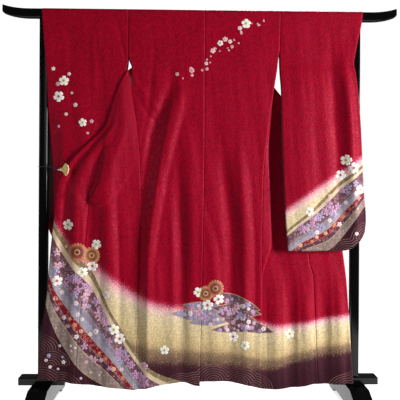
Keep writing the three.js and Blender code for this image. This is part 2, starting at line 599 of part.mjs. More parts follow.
// ---------------------------------------------------------------- the clip that holds the left front to its post
const CLIP = { x: -595, y: -51, z: 1037, radius: 34, spread: 0.95, thick: 2.4, root: 6, ball: 5 };
const JAW = { reach: 24, gap: 9, thick: 1.6, height: 12 };
const CORD = { thick: 2.4, turn: 22 };

function buildClip() {
  const upright = [Math.PI / 2, 0, 0];
  const fan = new THREE.Shape();
  fan.moveTo(CLIP.root * Math.cos(CLIP.spread), -CLIP.root * Math.sin(CLIP.spread));
  fan.absarc(0, 0, CLIP.radius, -CLIP.spread, CLIP.spread, false);
  fan.absarc(0, 0, CLIP.root, CLIP.spread, -CLIP.spread, true);
  add("clip_fan", plate(fan, CLIP.thick, 0.6, 1), GILT, [CLIP.x, CLIP.y, CLIP.z], upright);

  // The jaw is a bent strip that reaches round the cloth's edge to both sides of it.
  const jaw = new THREE.Shape();
  const [r, t] = [JAW.gap / 2, JAW.thick];
  jaw.moveTo(JAW.reach, r);
  jaw.absarc(0, 0, r, Math.PI / 2, (3 * Math.PI) / 2, false);
  jaw.lineTo(JAW.reach, -r);
  jaw.lineTo(JAW.reach, -r - t);
  jaw.absarc(0, 0, r + t, (3 * Math.PI) / 2, Math.PI / 2, true);
  jaw.lineTo(JAW.reach, r + t);
  const place = [CLIP.x, CLIP.y + r + t + 0.9, CLIP.z - JAW.height / 2];
  add("clip_jaw", plate(jaw, JAW.height, 0), GILT, place);
  const ball = new THREE.SphereGeometry(CLIP.ball, 16, 10);
  const ballX = CLIP.x - r - t - CLIP.ball - JOINT;
  add("clip_ball", ball, SILVER, [ballX, place[1], CLIP.z]);

  // The cord leaves the ball, goes once round the post and comes back to it.
  const post = POST.width / 2 + CORD.thick / 2 + JOINT * 3;
  const corner = post - POST.round * 0.25;
  const [px, y, z] = [-POST.x, place[1], CLIP.z];
  const route = [
    [ballX - CLIP.ball - JOINT, y, z - 1.6],
    [ballX - 22, y + 5, z + 1],
    [px + CORD.turn + 8, -post - 3, z + 10],
    [px + 12, -post, z + 12],
    [px - 13, -post, z + 12],
    [px - corner, -corner, z + 12.3],
    [px - post, -13, z + 12.6],
    [px - post, 13, z + 12.8],
    [px - corner, corner, z + 13],
    [px - 13, post, z + 13.2],
    [px + 13, post, z + 13.4],
    [px + corner, corner, z + 13.6],
    [px + post, 13, z + 13.8],
    [px + post, -13, z + 14],
    [px + CORD.turn + 8, -post - 8, z + 14],
    [ballX - 24, y + 6, z + 9],
    [ballX - CLIP.ball - JOINT, y, z + 1.6],
  ].map((p) => new THREE.Vector3(...p));
  const path = new THREE.CatmullRomCurve3(route, false, "centripetal");
  const section = new THREE.Shape().absarc(0, 0, CORD.thick / 2, 0, Math.PI * 2, false);
  const tube = new THREE.ExtrudeGeometry(section, { steps: 56, curveSegments: 3, extrudePath: path });
  add("clip_cord", tube, NAVY_CORD);
}

buildGarment();
buildStand();
buildClip();

export default group;
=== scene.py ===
"""A long-sleeved kimono spread over a lacquered kimono stand, dressed for rendering.

Tables and shapes are in millimetres, +Z up, with the origin on the floor at the middle of the stand, and -Y
is the side that shows the garment's back. The finished meshes are in metres.
"""
import math
from functools import partial

import bpy
import numpy as np
from mathutils import Matrix, Vector


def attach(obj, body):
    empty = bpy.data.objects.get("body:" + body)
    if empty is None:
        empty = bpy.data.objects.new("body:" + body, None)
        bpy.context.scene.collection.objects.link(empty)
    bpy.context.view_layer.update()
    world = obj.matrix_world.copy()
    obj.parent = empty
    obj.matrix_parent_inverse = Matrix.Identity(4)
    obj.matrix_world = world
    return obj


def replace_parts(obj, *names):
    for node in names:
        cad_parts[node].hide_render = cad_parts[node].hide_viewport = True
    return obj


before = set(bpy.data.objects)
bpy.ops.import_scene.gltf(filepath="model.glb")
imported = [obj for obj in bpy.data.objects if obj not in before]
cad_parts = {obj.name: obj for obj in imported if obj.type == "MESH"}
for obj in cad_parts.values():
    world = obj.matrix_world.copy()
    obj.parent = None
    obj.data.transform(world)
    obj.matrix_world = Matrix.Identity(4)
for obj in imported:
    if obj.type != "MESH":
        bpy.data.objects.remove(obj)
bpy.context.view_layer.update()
MM = 0.001

# ---------------------------------------------------------------- camera
CAMERA_AT = Vector((-0.055, -2.5, 0.995))
YAW, ROLL = math.radians(-1.25), math.radians(0.3)
camera_data = bpy.data.cameras.new("camera")
camera_data.lens = 51.4
camera_data.sensor_width = 36
camera_data.shift_y = -0.05
camera = bpy.data.objects.new("camera", camera_data)
camera.matrix_world = (
    Matrix.Translation(CAMERA_AT)
    @ Matrix.Rotation(YAW, 4, "Z")
    @ Matrix.Rotation(math.pi / 2, 4, "X")
    @ Matrix.Rotation(ROLL, 4, "Z")
)
bpy.context.collection.objects.link(camera)
bpy.context.scene.camera = camera


# ---------------------------------------------------------------- tables and curves
def table(names, *rows):
    """A table with named columns, in order of its first column, which is the one that is looked up."""
    columns = np.array(rows, float)
    columns = columns[np.argsort(columns[:, 0])]
    return dict(zip(names.split(), columns.T), key=columns[:, 0])


def along(rows, column, at):
    """The value of a column where the first column is `at`: a cubic through the rows whose tangents are the
    harmonic mean of the slopes on both sides, so that it never swings past them."""
    x, y = rows["key"], rows[column]
    at = np.clip(at, x[0], x[-1])
    slope = np.diff(y) / np.diff(x)
    product = slope[:-1] * slope[1:]
    mean = 2 * product / np.where(product > 0, slope[:-1] + slope[1:], 1)
    tangent = np.concatenate([slope[:1], np.where(product > 0, mean, 0), slope[-1:]])
    i = np.clip(np.searchsorted(x, at, side="right") - 1, 0, len(x) - 2)
    step = x[i + 1] - x[i]
    t = (at - x[i]) / step
    return (
        y[i] * (1 + 2 * t) * (1 - t) ** 2
        + step * tangent[i] * t * (1 - t) ** 2
        + y[i + 1] * t * t * (3 - 2 * t)
        + step * tangent[i + 1] * t * t * (t - 1)
    )


def mix(a, b, t):
    return a + (b - a) * t


def soft(a, b, t):
    """0 at a, 1 at b and a smooth step between them."""
    f = np.clip((t - a) / (b - a), 0, 1)
    return f * f * (3 - 2 * f)


def lengths(points):
    """Distance of each point of a line from its first, along the line."""
    return np.concatenate([[0], np.cumsum(np.linalg.norm(np.diff(points, axis=0), axis=-1))])


def bump(distance, wide):
    """A bell curve: 1 at no distance, falling to a third at `wide`."""
    return np.exp(-((distance / wide) ** 2))


# ---------------------------------------------------------------- the sizes that the solids have
CLOTH = 1.6
REST = 0.7
BAR = dict(length=1718, height=38, depth=38, top=1734, round=9, rise=17, tip=33, straight=1480)
FRONT_WIDTH, COLLAR_WIDTH, COLLAR_END, COLLAR_TIP = 240, 55, 910, 45
NECK_DROP, NECK_TURN, NECK_SLANT = 74, 150, 0.25
OKUMI_TOP = 1350
OKUMI = dict(top=22, end=95, hem=150)

# The back by height: its side seams and its centre seam.
BACK_EDGES = table(
    "z left centre right",
    (1735, -315, 17, 347), (1570, -314, 17, 343.2), (1517, -312, 17, 336.8), (1475, -298, 17, 332),
    (1384, -297, 17, 318), (1233, -276, 17, 297), (1038, -260, 16, 275), (850, -257, 14, 270),
    (640, -260, 11, 268), (347, -270, 5, 268), (90, -281, 2, 268),
)
LEAN = table("z out", (1735, 0), (1384, 5), (900, 12), (90, 20))
# Folds of the back: a soft ridge (+) or trough (-) through three points, its depth and half its width. The
# first eight are the large ones, and the rest are the finer ones between them.
BACK_FOLDS = (
    (1400, -130, 1126, -222, 700, -262, -15, 25), (1380, -85, 1000, -172, 600, -236, 12, 30),
    (1000, -92, 650, -76, 150, -72, -11, 26), (1200, -50, 700, -34, 100, -34, 7, 32),
    (1050, 100, 700, 136, 150, 136, -12, 28), (1100, 170, 750, 193, 120, 200, 9, 26),
    (700, -190, 400, -200, 90, -215, 9, 34), (800, 56, 450, 66, 90, 60, 5, 36),
    (1330, -120, 1040, -176, 700, -224, 3, 9), (1290, -70, 1000, -140, 640, -196, -2.5, 13),
    (900, 20, 640, 90, 300, 100, -2, 14), (900, 225, 700, 240, 330, 240, -3, 13),
    (860, 10, 600, 16, 240, 14, 2.5, 13), (860, -120, 560, -118, 220, -116, 3, 15),
    (1560, -200, 1330, -222, 1120, -262, -3, 12), (620, 170, 400, 178, 140, 176, -3, 13),
    (560, -30, 360, -34, 120, -38, -2, 14),
)
FOLD_START = 300
# The lining stiffens the hem: the share of a fold that is left there, and the heights between which it
# changes.
HEM_FOLDS, HEM_LOW, HEM_HIGH = 0.5, 160, 560
LEFT_HEM = ((-692, 140), (-281, 89))
BACK_HEM = {
    "left": table("x z", (-281, 89), (-233, 98), (-147, 115), (-69, 123), (-13, 109), (2, 108)),
    "right": table("x z", (2, 127), (86, 128), (168, 118), (268, 96)),
}
# The left front by height of its side edge: the free end of each row.
LEFT_ROWS = table(
    "side x1 y1 z1",
    (1725, -18, 20.5, 1725), (1690, -32, 21, 1690), (1620, -98, 24, 1628), (1550, -182, 25, 1565),
    (1480, -256, 18, 1512), (1425, -307, -2, 1480), (1384, -322, -30, 1458), (1330, -352, -33, 1400),
    (1270, -381, -33, 1320), (1200, -404, -33, 1237), (1120, -482, -36, 1153), (1040, -563, -41, 1066),
    (960, -612, -42, 960), (850, -624, -42, 844), (680, -641, -43, 677), (520, -652, -44, 522),
    (370, -673, -45, 371), (89, -692, -46, 140),
)
# The other end above LEFT_SEWN, where it isn't sewn to the back.
LEFT_FREE = table(
    "side x0 y0",
    (1725, -315, 20.5), (1690, -315, 20.8), (1620, -312, 20.6), (1550, -300, 20), (1517, -293, 18),
    (1480, -292, 15), (1425, -298, 0), (1384, -297.5, -20),
)
LEFT_SEWN = 1360
# Folds that fan out below the clip: place across the sheet at the clip and at the hem, depth and half width.
LEFT_FOLDS = (
    (0.9, 0.8, -12, 0.06), (0.78, 0.62, 11, 0.07), (0.62, 0.44, -11, 0.07), (0.4, 0.24, 10, 0.08),
    (0.97, 0.9, 4, 0.025), (0.84, 0.7, -5, 0.028), (0.7, 0.53, 4, 0.025), (0.52, 0.34, -4.5, 0.03),
    (0.3, 0.14, -5, 0.035),
)
LEFT_FOLD_TOP, LEFT_FINE_TOP = 1300, 1000
LARGE_FOLD = 0.05  # half width from which a fold counts as large
FAN_TOP, FAN_REACH = 1040, 950
LEFT_BULGE = 14
LEFT_ON_BAR = (-315.0, -18.0)  # both edges of the sheet where it lies on the bar
# The bag-like fold that hangs between the clip and the side seam: its left edge, its bottom and, left of
# it, the valley that runs down from the clip.
BAG_SIDE = table(
    "z x",
    (1300, -400), (1163, -413), (1094, -419), (995, -434), (952, -456), (909, -477), (860, -500),
)
BAG_LOW = table(
    "x z",
    (-520, 925), (-477, 902), (-455, 886), (-432, 879), (-412, 883), (-392, 896), (-340, 960), (-260, 1100),
)
VALLEY = table("z x", (1180, -570), (1017, -574), (896, -512), (850, -488))
BAG, VALLEY_DEPTH = 12, 5
# Plan of the right front by height: side seam, turn behind the sleeve and free edge, and the depth at the
# seam, in front of the fold, at the fold and at the free edge.
RIGHT_ROWS = table(
    "z side turn edge y0 near fold far",
    (1735, 347, 347, 52, 20.5, 20.5, 20.5, 20.5), (1725, 347, 347, 52, 20.5, 20.5, 20.5, 20.5),
    (1694, 346, 346, 64, 20.7, 20.7, 23, 27), (1645, 344, 344, 108, 18, 18, 22, 31),
    (1597, 343, 343, 196, 13, 15, 21, 32), (1503, 338, 338, 268, 0, 4, 16, 28),
    (1410, 322, 322, 325, -13, -9, 8, 20), (1340, 312, 313, 378, 0, -15, 2, 13),
    (1233, 297, 306, 455, 0, -17, -4, 6), (1126, 284, 299, 522, 0, -19, -8, 0),
    (907, 272, 308, 588, 0, -21, -11, -8), (720, 269, 314, 620, 0, -23, -15, -16),
    (640, 268, 290, 630, 0, -28, -26, -24), (560, 268, 268, 638, 0, -32, -32, -32),
    (300, 268, 268, 655, 0, -37, -37, -40), (90, 268, 268, 669, 0, -40, -40, -44),
)
TURN, TURN_DEPTH = 7, 0.7  # radius of the folded turns, and its share in depth
TUCK = 10  # how far the front is tucked in behind the sleeve
RIGHT_HEM = table("arc z", (0, 96), (40, 93), (170, 105), (225, 115), (400, 116))
# Folds of the right front below its sleeve: distance from the side seam, depth and half width.
RIGHT_FOLDS = (
    (70, 9, 26), (130, -10, 26), (195, 9, 28), (275, -11, 30), (340, 9, 24),
    (24, -3, 8), (98, 3, 9), (160, 3.5, 10), (232, -4, 9), (306, 3, 9), (372, -3, 8),
)
RIGHT_FOLD_TOP = 660
# Each sleeve by height: its inner edge, the outer edge of both layers, and their depths at both edges.
SLEEVE_COLUMNS = "z inner near far near_in near_out far_in far_out"
SLEEVES = {
    "left": table(
        SLEEVE_COLUMNS,
        (1735, -315, -689, -689, -20.5, -20.5, 20.5, 20.5), (1600, -315, -678, -676, -21, -23, 21.5, 22.5),
        (1540, -315, -672, -672, -22, -24, 22, 23), (1503, -316, -669, -670, -23, -23.5, 22.5, 23.3),
        (1440, -327, -665, -668, -25, -22.5, 23, 23.3), (1350, -326, -661, -668, -26, -22.5, 23, 23.3),
        (1200, -322, -652, -668, -26, -10, 23, 23.3), (1040, -318, -637, -668, -25, -6, 22, 23.3),
        (950, -316, -635, -668, -24, -4, 20, 23.3), (690, -312, -640, -668, -14, 4, -10, 23.3),
    ),
    "right": table(
        SLEEVE_COLUMNS,
        (1735, 347, 708, 708, -20.5, -20.5, 20.5, 20.5), (1725, 347, 707, 700, -20.5, -20.5, 20.5, 20.5),
        (1694, 346, 704, 652, -20.7, -21, 20.7, 21), (1600, 344.5, 684, 645, -21, -24, 13, 2),
        (1545, 343.5, 673, 650, -23, -27, 6, -14), (1503, 343.5, 667, 665, -25, -29, 0, -24),
        (1470, 344, 673, 673, -30, -31, -8, -28.2), (1381, 349, 684, 684, -38, -34, -20, -31.2),
        (1245, 351, 694, 694, -45, -40, -26, -37.2), (952, 362, 708, 708, -54, -46, -34, -43.2),
        (828, 368, 717, 717, -55, -47, -40, -44.2), (690, 379, 717, 717, -56, -48, -52, -44.2),
    ),
}
# Folds down the sleeves: place across, depth and half width.
SLEEVE_FOLDS = {
    "left": ((0.3, -4, 0.09), (0.55, 3, 0.1), (0.42, 1.2, 0.035), (0.68, -1.2, 0.04), (0.18, 1.2, 0.03)),
    "right": (
        (0.28, 4, 0.14), (0.5, -2, 0.09), (0.68, -11, 0.085), (0.87, 12, 0.065),
        (0.42, -0.8, 0.04), (0.62, 0.8, 0.035),
    ),
}
FAR_FOLDS = 0.3
LAYERS_APART = 2.8
SLEEVE_BOTTOM, SLEEVE_CORNER, SLEEVE_ROLL = 694, 115, 0.82

# ---------------------------------------------------------------- cloth over the bar
LIFT = REST + CLOTH / 2
FLAT = BAR["depth"] / 2 - BAR["round"]
BEND = BAR["round"] + LIFT
BEND_END = FLAT + BEND * math.pi / 2
HANG_TOP = BAR["top"] - BAR["round"]
HANG_Y = BAR["depth"] / 2 + LIFT


def over_bar(s, side):
    """Depth and height at a distance s from the middle of the bar's top: flat, round the bar's edge,
    straight down."""
    angle = np.clip((s - FLAT) / BEND, 0, math.pi / 2)
    y = np.where(s < FLAT, s, FLAT + BEND * np.sin(angle))
    return side * y, HANG_TOP + BEND * np.cos(angle) - np.maximum(0, s - BEND_END)


def length_to(z):
    """Distance down a hanging panel, from the middle of the bar's top to the height z. Height and distance
    always add up to the same, so it gives the height at a distance too."""
    return BEND_END + HANG_TOP - z


height_at = length_to


COARSE = 9.0  # spacing of the grid down a panel, above the patterned part


def rows_down(end, fine_from=900, fine=5.5):
    """Distances down a panel, for an array of ends: close together over the bar, wider down to `fine_from`,
    and close again over the patterned part. Every end gets the same number."""
    hanging = np.arange(BEND_END + COARSE, length_to(fine_from), COARSE)
    top = np.concatenate([np.linspace(0, BEND_END, 9), hanging])
    last = top[-1]
    count = int((np.max(end) - last) / fine)
    share = np.arange(1, count + 1) / count
    end = np.atleast_1d(end)[:, None]
    return np.concatenate([np.broadcast_to(top, (len(end), len(top))), last + (end - last) * share], axis=1)


# ---------------------------------------------------------------- surfaces of the body
def stiffened(z, high=HEM_HIGH):
    """The share that is left of a fold on its way down to the hem."""
    return mix(HEM_FOLDS, 1, soft(HEM_LOW, high, z))


def back_depth(x, z):
    """How far the back stands off the bar's front line: its lean and the sum of its folds, each a bell
    curve across a line through three points that grows in over FOLD_START."""
    out = along(LEAN, "out", z)
    for z1, x1, z2, x2, z3, x3, depth, wide in BACK_FOLDS:
        path = table("z x", (z1, x1), (z2, x2), (z3, x3))
        grown = soft(z1 + FOLD_START / 2, z1 - FOLD_START / 2, z) * stiffened(z)
        out = out + depth * grown * bump(x - along(path, "x", z), wide)
    return out


def back_point(u, s, edges):
    """Between two edges of the back, u across and s down from the bar's top."""
    y, z = over_bar(s, -1)
    x = mix(along(BACK_EDGES, edges[0], z), along(BACK_EDGES, edges[1], z), u)
    return np.stack([x, y - back_depth(x, z), z], axis=-1)


def left_point(u, s):
    """The left front sheet: straight rows from its side edge (u 0) to its free edge (u 1), bulging over the
    sleeve, with folds that fan out below the clip."""
    u, s = np.broadcast_arrays(u, s)
    side = height_at(s)
    seam_x = along(BACK_EDGES, "left", side)
    seam_y = -HANG_Y - back_depth(seam_x, side)
    blend = soft(1425, LEFT_SEWN, side)
    x0 = mix(along(LEFT_FREE, "x0", side), seam_x, blend)
    y0 = mix(along(LEFT_FREE, "y0", side), seam_y, blend)
    x = mix(x0, along(LEFT_ROWS, "x1", side), u)
    y = mix(y0, along(LEFT_ROWS, "y1", side), u)
    z = mix(side, along(LEFT_ROWS, "z1", side), u)
    y = y - LEFT_BULGE * np.sin(math.pi * u) * soft(1400, 1250, side) * soft(560, 760, side)
    low = soft(LEFT_FOLD_TOP, LEFT_FOLD_TOP - 500, side)
    fan = np.clip((FAN_TOP - side) / FAN_REACH, 0, 1)
    fine = soft(LEFT_FINE_TOP, LEFT_FINE_TOP - 300, side)
    for at1, at2, depth, wide in LEFT_FOLDS:
        grown = (low if wide > LARGE_FOLD else fine) * stiffened(side)
        y = y - depth * grown * bump(u - mix(at1, at2, fan), wide) * soft(0, 0.12, u) * soft(1, 0.9, u)
    right_of = x - along(BAG_SIDE, "x", z)
    in_bag = soft(-4, 8, right_of)
    filled = in_bag * soft(-7, 9, z - along(BAG_LOW, "z", x)) * soft(1280, 1120, z)
    swell = BAG * mix(0.5, 1, soft(1130, 940, z)) * filled * bump(np.maximum(right_of, 0), 90)
    y = y - swell * soft(0, 0.15, u)
    dip = soft(-5, 16, x - along(VALLEY, "x", z)) * (1 - in_bag)
    y = y + VALLEY_DEPTH * dip * soft(1180, 1080, z) * soft(862, 900, z) * soft(1, 0.9, u)
    bar_y, bar_z = over_bar(s, 1)
    on_bar = s < BEND_END
    x = np.where(on_bar, mix(*LEFT_ON_BAR, u), x)
    return np.stack([x, np.where(on_bar, bar_y, y), np.where(on_bar, bar_z, z)], axis=-1)


def okumi_width(z):
    """The overlap panel: slanted from its pointed top to the collar's end, straight below it."""
    upper = mix(OKUMI["end"], OKUMI["top"], (z - COLLAR_END) / (OKUMI_TOP - COLLAR_END))
    return np.where(z > OKUMI_TOP, 0, np.where(z > COLLAR_END, upper, OKUMI["hem"]))


def sheet_width(z):
    """Front, overlap panel and collar together."""
    return FRONT_WIDTH + okumi_width(z) + np.where(z > COLLAR_END, COLLAR_WIDTH, 0)


def right_path(z, width):
    """Plan of the right front sheet at each height: side seam, near turn, back behind to a fold, out to its
    edge."""
    side = mix(along(RIGHT_ROWS, "side", z), along(BACK_EDGES, "right", z), soft(1420, 1390, z))
    turn = np.maximum(along(RIGHT_ROWS, "turn", z), side)
    edge = along(RIGHT_ROWS, "edge", z)
    wide_open = soft(650, 565, z)
    fold = mix((2 * turn - side + edge - width) / 2, turn, wide_open)
    y0 = mix(along(RIGHT_ROWS, "y0", z), -HANG_Y - back_depth(side, z), soft(1410, 1340, z))
    near, behind = along(RIGHT_ROWS, "near", z), along(RIGHT_ROWS, "fold", z)
    r1 = np.minimum(TURN, (turn - side) / 2)
    r2 = np.maximum(0, np.minimum(TURN, np.minimum((turn - fold) / 2, (edge - fold) / 2)))
    x = [side, turn - r1, turn, turn - r1, fold + r2, fold, fold + r2, edge]
    away = np.minimum(y0 + TUCK * soft(1300, 1150, z) * soft(640, 760, z), mix(y0, near, 0.5))
    deep = r2 * TURN_DEPTH
    far = along(RIGHT_ROWS, "far", z)
    y = [y0, away, mix(away, near, 0.5), near, behind - deep, behind, behind + deep, far]
    return np.stack([np.stack(x), np.stack(y)], axis=-1)


def right_point(u, s):
    """The right front sheet: the point at the share u of its plan's length, rounded at the turns by the
    mean of neighbouring points, with folds below the sleeve."""
    u, s = np.broadcast_arrays(u, s)
    bar_y, z = over_bar(s, 1)
    path = right_path(z, sheet_width(z))
    step = np.diff(path, axis=0)
    span = np.maximum(np.linalg.norm(step, axis=-1), 1e-6)
    start = np.cumsum(span, axis=0) - span
    total = span.sum(axis=0)
    place = 0
    middle = np.clip(u, 0, 1) * total
    for shift in (-3.0, -1.5, 0.0, 1.5, 3.0):
        run = middle + shift * soft(0, 6, middle) * soft(0, 6, (1 - u) * total)
        share = np.clip((run - start) / span, 0, 1)
        place = place + (path[0] + (share[..., None] * step).sum(axis=0)) / 5
    x, y = place[..., 0], place[..., 1]
    low = soft(RIGHT_FOLD_TOP, RIGHT_FOLD_TOP - 350, z) * stiffened(z, 460)
    for arc, depth, wide in RIGHT_FOLDS:
        y = y - depth * low * bump(u * total - arc, wide) * soft(0, 0.1, u) * soft(1, 0.94, u)
    return np.stack([x, np.where(s < BEND_END, bar_y, y), z], axis=-1)


def front_share(z):
    """Share of a front sheet's width at which the front ends."""
    return FRONT_WIDTH / sheet_width(z)


def collar_share(z):
    """Share of a front sheet's width at which the collar starts; its end slants down to the free edge."""
    tip = COLLAR_END + COLLAR_TIP
    start = 1 - COLLAR_WIDTH / sheet_width(tip)
    slant = mix(1, start, np.clip((z - COLLAR_END) / COLLAR_TIP, 0, 1))
    return np.where(z >= tip, 1 - COLLAR_WIDTH / sheet_width(z), slant)


def sleeve_layer(side, u, s, way):
    """The near (-1) or far (+1) layer of a sleeve: between its inner and outer edges, with folds down it."""
    rows, name = SLEEVES[side], "near" if way < 0 else "far"
    bar_y, z = over_bar(s, way)
    y = mix(along(rows, name + "_in", z), along(rows, name + "_out", z), soft(SLEEVE_ROLL, 1, u))
    grown = soft(1640, 1300, z) * soft(SLEEVE_BOTTOM, SLEEVE_BOTTOM + 200, z) * soft(1, 0.9, u)
    for at, depth, wide in SLEEVE_FOLDS[side]:
        y = y - (1 if way < 0 else FAR_FOLDS) * depth * grown * bump(u - at, wide)
    if way > 0:
        y = np.maximum(y, sleeve_layer(side, u, s, -1)[..., 1] + LAYERS_APART)
    x = mix(along(rows, "inner", z), along(rows, name, z), u)
    return np.stack([x, np.where(s < BEND_END, bar_y, y), z], axis=-1)


# ---------------------------------------------------------------- the dyed design, worked out for every point
# Height at which the red ends, across the body.
SHADE_LINE = table(
    "x z",
    (-700, 900), (-640, 860), (-543, 720), (-434, 640), (-368, 585), (-263, 515), (-150, 472), (0, 455),
    (120, 440), (250, 400), (355, 382), (480, 398), (620, 425), (700, 432),
)
# Height at which the dark hem is at its full depth.
HEM_LINE = table("x z", (-720, 105), (150, 105), (276, 94), (442, 150), (560, 176), (720, 190))
# The stream of ribbons that flows down the left front: its upper and lower banks.
STREAM = table(
    "x high low",
    (-720, 960, 700), (-664, 880, 469), (-635, 838, 370), (-609, 790, 300), (-543, 700, 205),
    (-470, 610, 130), (-420, 520, 98), (-370, 420, 66), (-310, 310, 20), (-250, 236, -40),
    (-205, 190, -100), (-150, 152, -130), (-60, 118, -200), (0, 60, -300), (720, -900, -1000),
)
SLEEVE_STREAM = table(
    "x high low",
    (340, 740, 560), (390, 792, 610), (450, 850, 655), (552, 938, 700), (620, 998, 762), (680, 1052, 836),
    (731, 1098, 902),
)
# Lobes of mist over the middle of the hem: both tips and half thickness.
MIST = {
    "pale": (
        (-125, 420, 70, 402, 22), (-72, 456, 120, 442, 20), (-50, 380, 150, 394, 19),
        (-20, 428, 190, 412, 24),
    ),
    "deep": (
        (60, 506, 262, 432, 26), (50, 446, 268, 416, 24), (96, 396, 322, 338, 26), (50, 350, 232, 356, 18),
        (70, 420, 250, 384, 26),
    ),
}
# Middles of the rings of wave lines in the dark hem.
WAVES = (
    (-690, 262), (-640, 196), (-676, 120), (-590, 96), (-10, 96), (62, 130), (118, 92), (180, 118), (232, 88),
    (-74, 88), (-700, 60), (640, 88), (700, 108),
)
SLEEVE_WAVES = ((700, 690), (640, 672), (735, 745), (672, 640))
WAVE_REACH = 92


def mist(lobes, x, z):
    """Distance outside the nearest of a group of lobes, each a parabola on both sides of the line between
    its tips; negative inside."""
    near = []
    for x1, z1, x2, z2, half in lobes:
        reach = math.hypot(x2 - x1, z2 - z1)
        dx, dz = (x2 - x1) / reach, (z2 - z1) / reach
        run = ((x - x1) * dx + (z - z1) * dz) / reach * 2 - 1
        near.append(np.abs((x - x1) * dz - (z - z1) * dx) - half * (1 - run * run))
    return np.min(near, axis=0)


def arcs(middles, x, z):
    """Distance from the nearest middle below each point, flattened a little; far off where there is none."""
    return np.min([np.where(z > b, np.hypot(x - a, (z - b) * 1.2), 900) for a, b in middles], axis=0)


def plain_design(points):
    """Red silk, above the shading and far from every motif."""
    off = np.full(points.shape[:-1], 500.0)
    return dict(shade=off * 0 - 1, stream=off * 0 - 1, pale=off, deep=off, waves=off)


def body_design(points):
    x, z = points[..., 0], points[..., 2]
    line = along(SHADE_LINE, "z", x)
    high, low = along(STREAM, "high", x), along(STREAM, "low", x)
    sway = 10 * np.sin(x / 85 + z / 140) + 5 * np.sin(x / 41 - z / 97)
    return dict(
        shade=(line - z) / (line - along(HEM_LINE, "z", x)),
        stream=(high + sway - z) / (high - low),
        pale=mist(MIST["pale"], x, z),
        deep=mist(MIST["deep"], x, z),
        waves=arcs(WAVES, x, z),
    )


def sleeve_design(points):
    """The right sleeve's shading falls along a slope; the left sleeve stays red."""
    x, z = points[..., 0], points[..., 2]
    slope = (x - 368) * 0.571 + (885 - z) * 0.82
    right = x > 0
    high, low = along(SLEEVE_STREAM, "high", x), along(SLEEVE_STREAM, "low", x)
    sway = 7 * np.sin(x / 62 + z / 90)
    return dict(
        plain_design(points),
        shade=np.where(right, slope / 260, -1),
        stream=np.where(right, (high + sway - z) / (high - low), -1),
        waves=arcs(SLEEVE_WAVES, x, z),
    )


# ---------------------------------------------------------------- fine relief of the silk
# Creases from folding and handling: both ends, height (+) or depth (-), and half width.
CREASES = (
    (-545, 1195, -455, 1192, 1.6, 4), (-640, 1190, -560, 1196, 1.0, 5), (372, 1226, 700, 1220, 1.6, 5),
    (272, 646, 442, 634, 2.6, 4), (-290, 652, -262, 646, 2.0, 4), (-372, 1690, -340, 1590, -3.5, 8),
    (-352, 1590, -318, 1500, -3, 7), (-420, 1560, -404, 1300, 1.6, 9), (-566, 1600, -560, 1320, -1.4, 10),
    (-470, 1650, -452, 1380, 1.8, 9), (-30, 1190, 260, 1184, 0.8, 5), (-250, 1196, -40, 1190, 0.8, 5),
    (-60, 930, 240, 924, 0.7, 5), (560, 1640, 590, 1300, -1.2, 14), (420, 1600, 436, 1330, 0.8, 14),
    (-300, 1440, -180, 1290, 3, 10), (-290, 1370, -190, 1230, -3, 9),
)
# Slow waves over the whole cloth: height, length across, length down and phase.
SWAYS = (
    (1.0, 210, 1300, 0.4), (0.8, 133, 900, 2.1), (0.55, 87, 640, 4.0), (0.35, 51, 420, 1.2),
    (0.22, 31, 260, 5.1),
)


def relief(x, z):
    """Sum of the creases, each a bell curve across a line with soft ends, and of the slow waves."""
    out = 0 * x
    for x1, z1, x2, z2, high, wide in CREASES:
        reach = math.hypot(x2 - x1, z2 - z1)
        dx, dz = (x2 - x1) / reach, (z2 - z1) / reach
        run = (x - x1) * dx + (z - z1) * dz
        off = (x - x1) * dz - (z - z1) * dx + 2.5 * np.sin(run / 21)
        out = out + high * bump(off, wide) * soft(-12, 12, run) * soft(reach + 12, reach - 12, run)
    for high, wide, tall, phase in SWAYS:
        wave = np.sin(2 * math.pi * (x / wide + z / tall) + phase)
        out = out + high * wave * np.cos(z / tall * 4 + phase * 2)
    return out


# ---------------------------------------------------------------- mesh makers
def finish_mesh(name, points, faces, materials):
    """An object of that name from points in millimetres, riding on the stand's one body."""
    mesh = bpy.data.meshes.new(name)
    mesh.from_pydata(points.reshape(-1, 3) * MM, [], faces.tolist() if hasattr(faces, "tolist") else faces)
    for each in materials:
        mesh.materials.append(each)
    mesh.polygons.foreach_set("use_smooth", np.full(len(mesh.polygons), True))
    mesh.update()
    obj = bpy.data.objects.new(name, mesh)
    bpy.context.collection.objects.link(obj)
    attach(obj, "root")
    return obj


def grid_faces(n, m, flip=False, wrap=False):
    """Quads of an n by m grid of points; wrap joins its last column to its first."""
    i, j = np.meshgrid(np.arange(n - 1), np.arange(m if wrap else m - 1), indexing="ij")
    k = (j + 1) % m
    quads = np.stack([i * m + j, (i + 1) * m + j, (i + 1) * m + k, i * m + k], axis=-1).reshape(-1, 4)
    return quads[:, ::-1] if flip else quads


def normals(points, wrap=False):
    """Unit normals of a grid: the cross product of its two directions."""
    du = np.gradient(points, axis=0)
    if wrap:
        dv = np.roll(points, -1, axis=1) - np.roll(points, 1, axis=1)
    else:
        dv = np.gradient(points, axis=1)
    n = np.cross(du, dv)
    return n / np.maximum(np.linalg.norm(n, axis=-1, keepdims=True), 1e-9)


def add_values(mesh, name, values):
    layer = mesh.attributes.new(name, "FLOAT", "POINT")
    layer.data.foreach_set("value", np.ascontiguousarray(values, float).ravel())


def add_colors(mesh, name, values):
    values = np.concatenate([values.reshape(-1, 3), np.ones((values.size // 3, 1))], axis=1)
    layer = mesh.attributes.new(name, "FLOAT_COLOR", "POINT")
    layer.data.foreach_set("color", values.ravel())


SHOWN_CLOTH = 1.1  # thickness of the lined silk


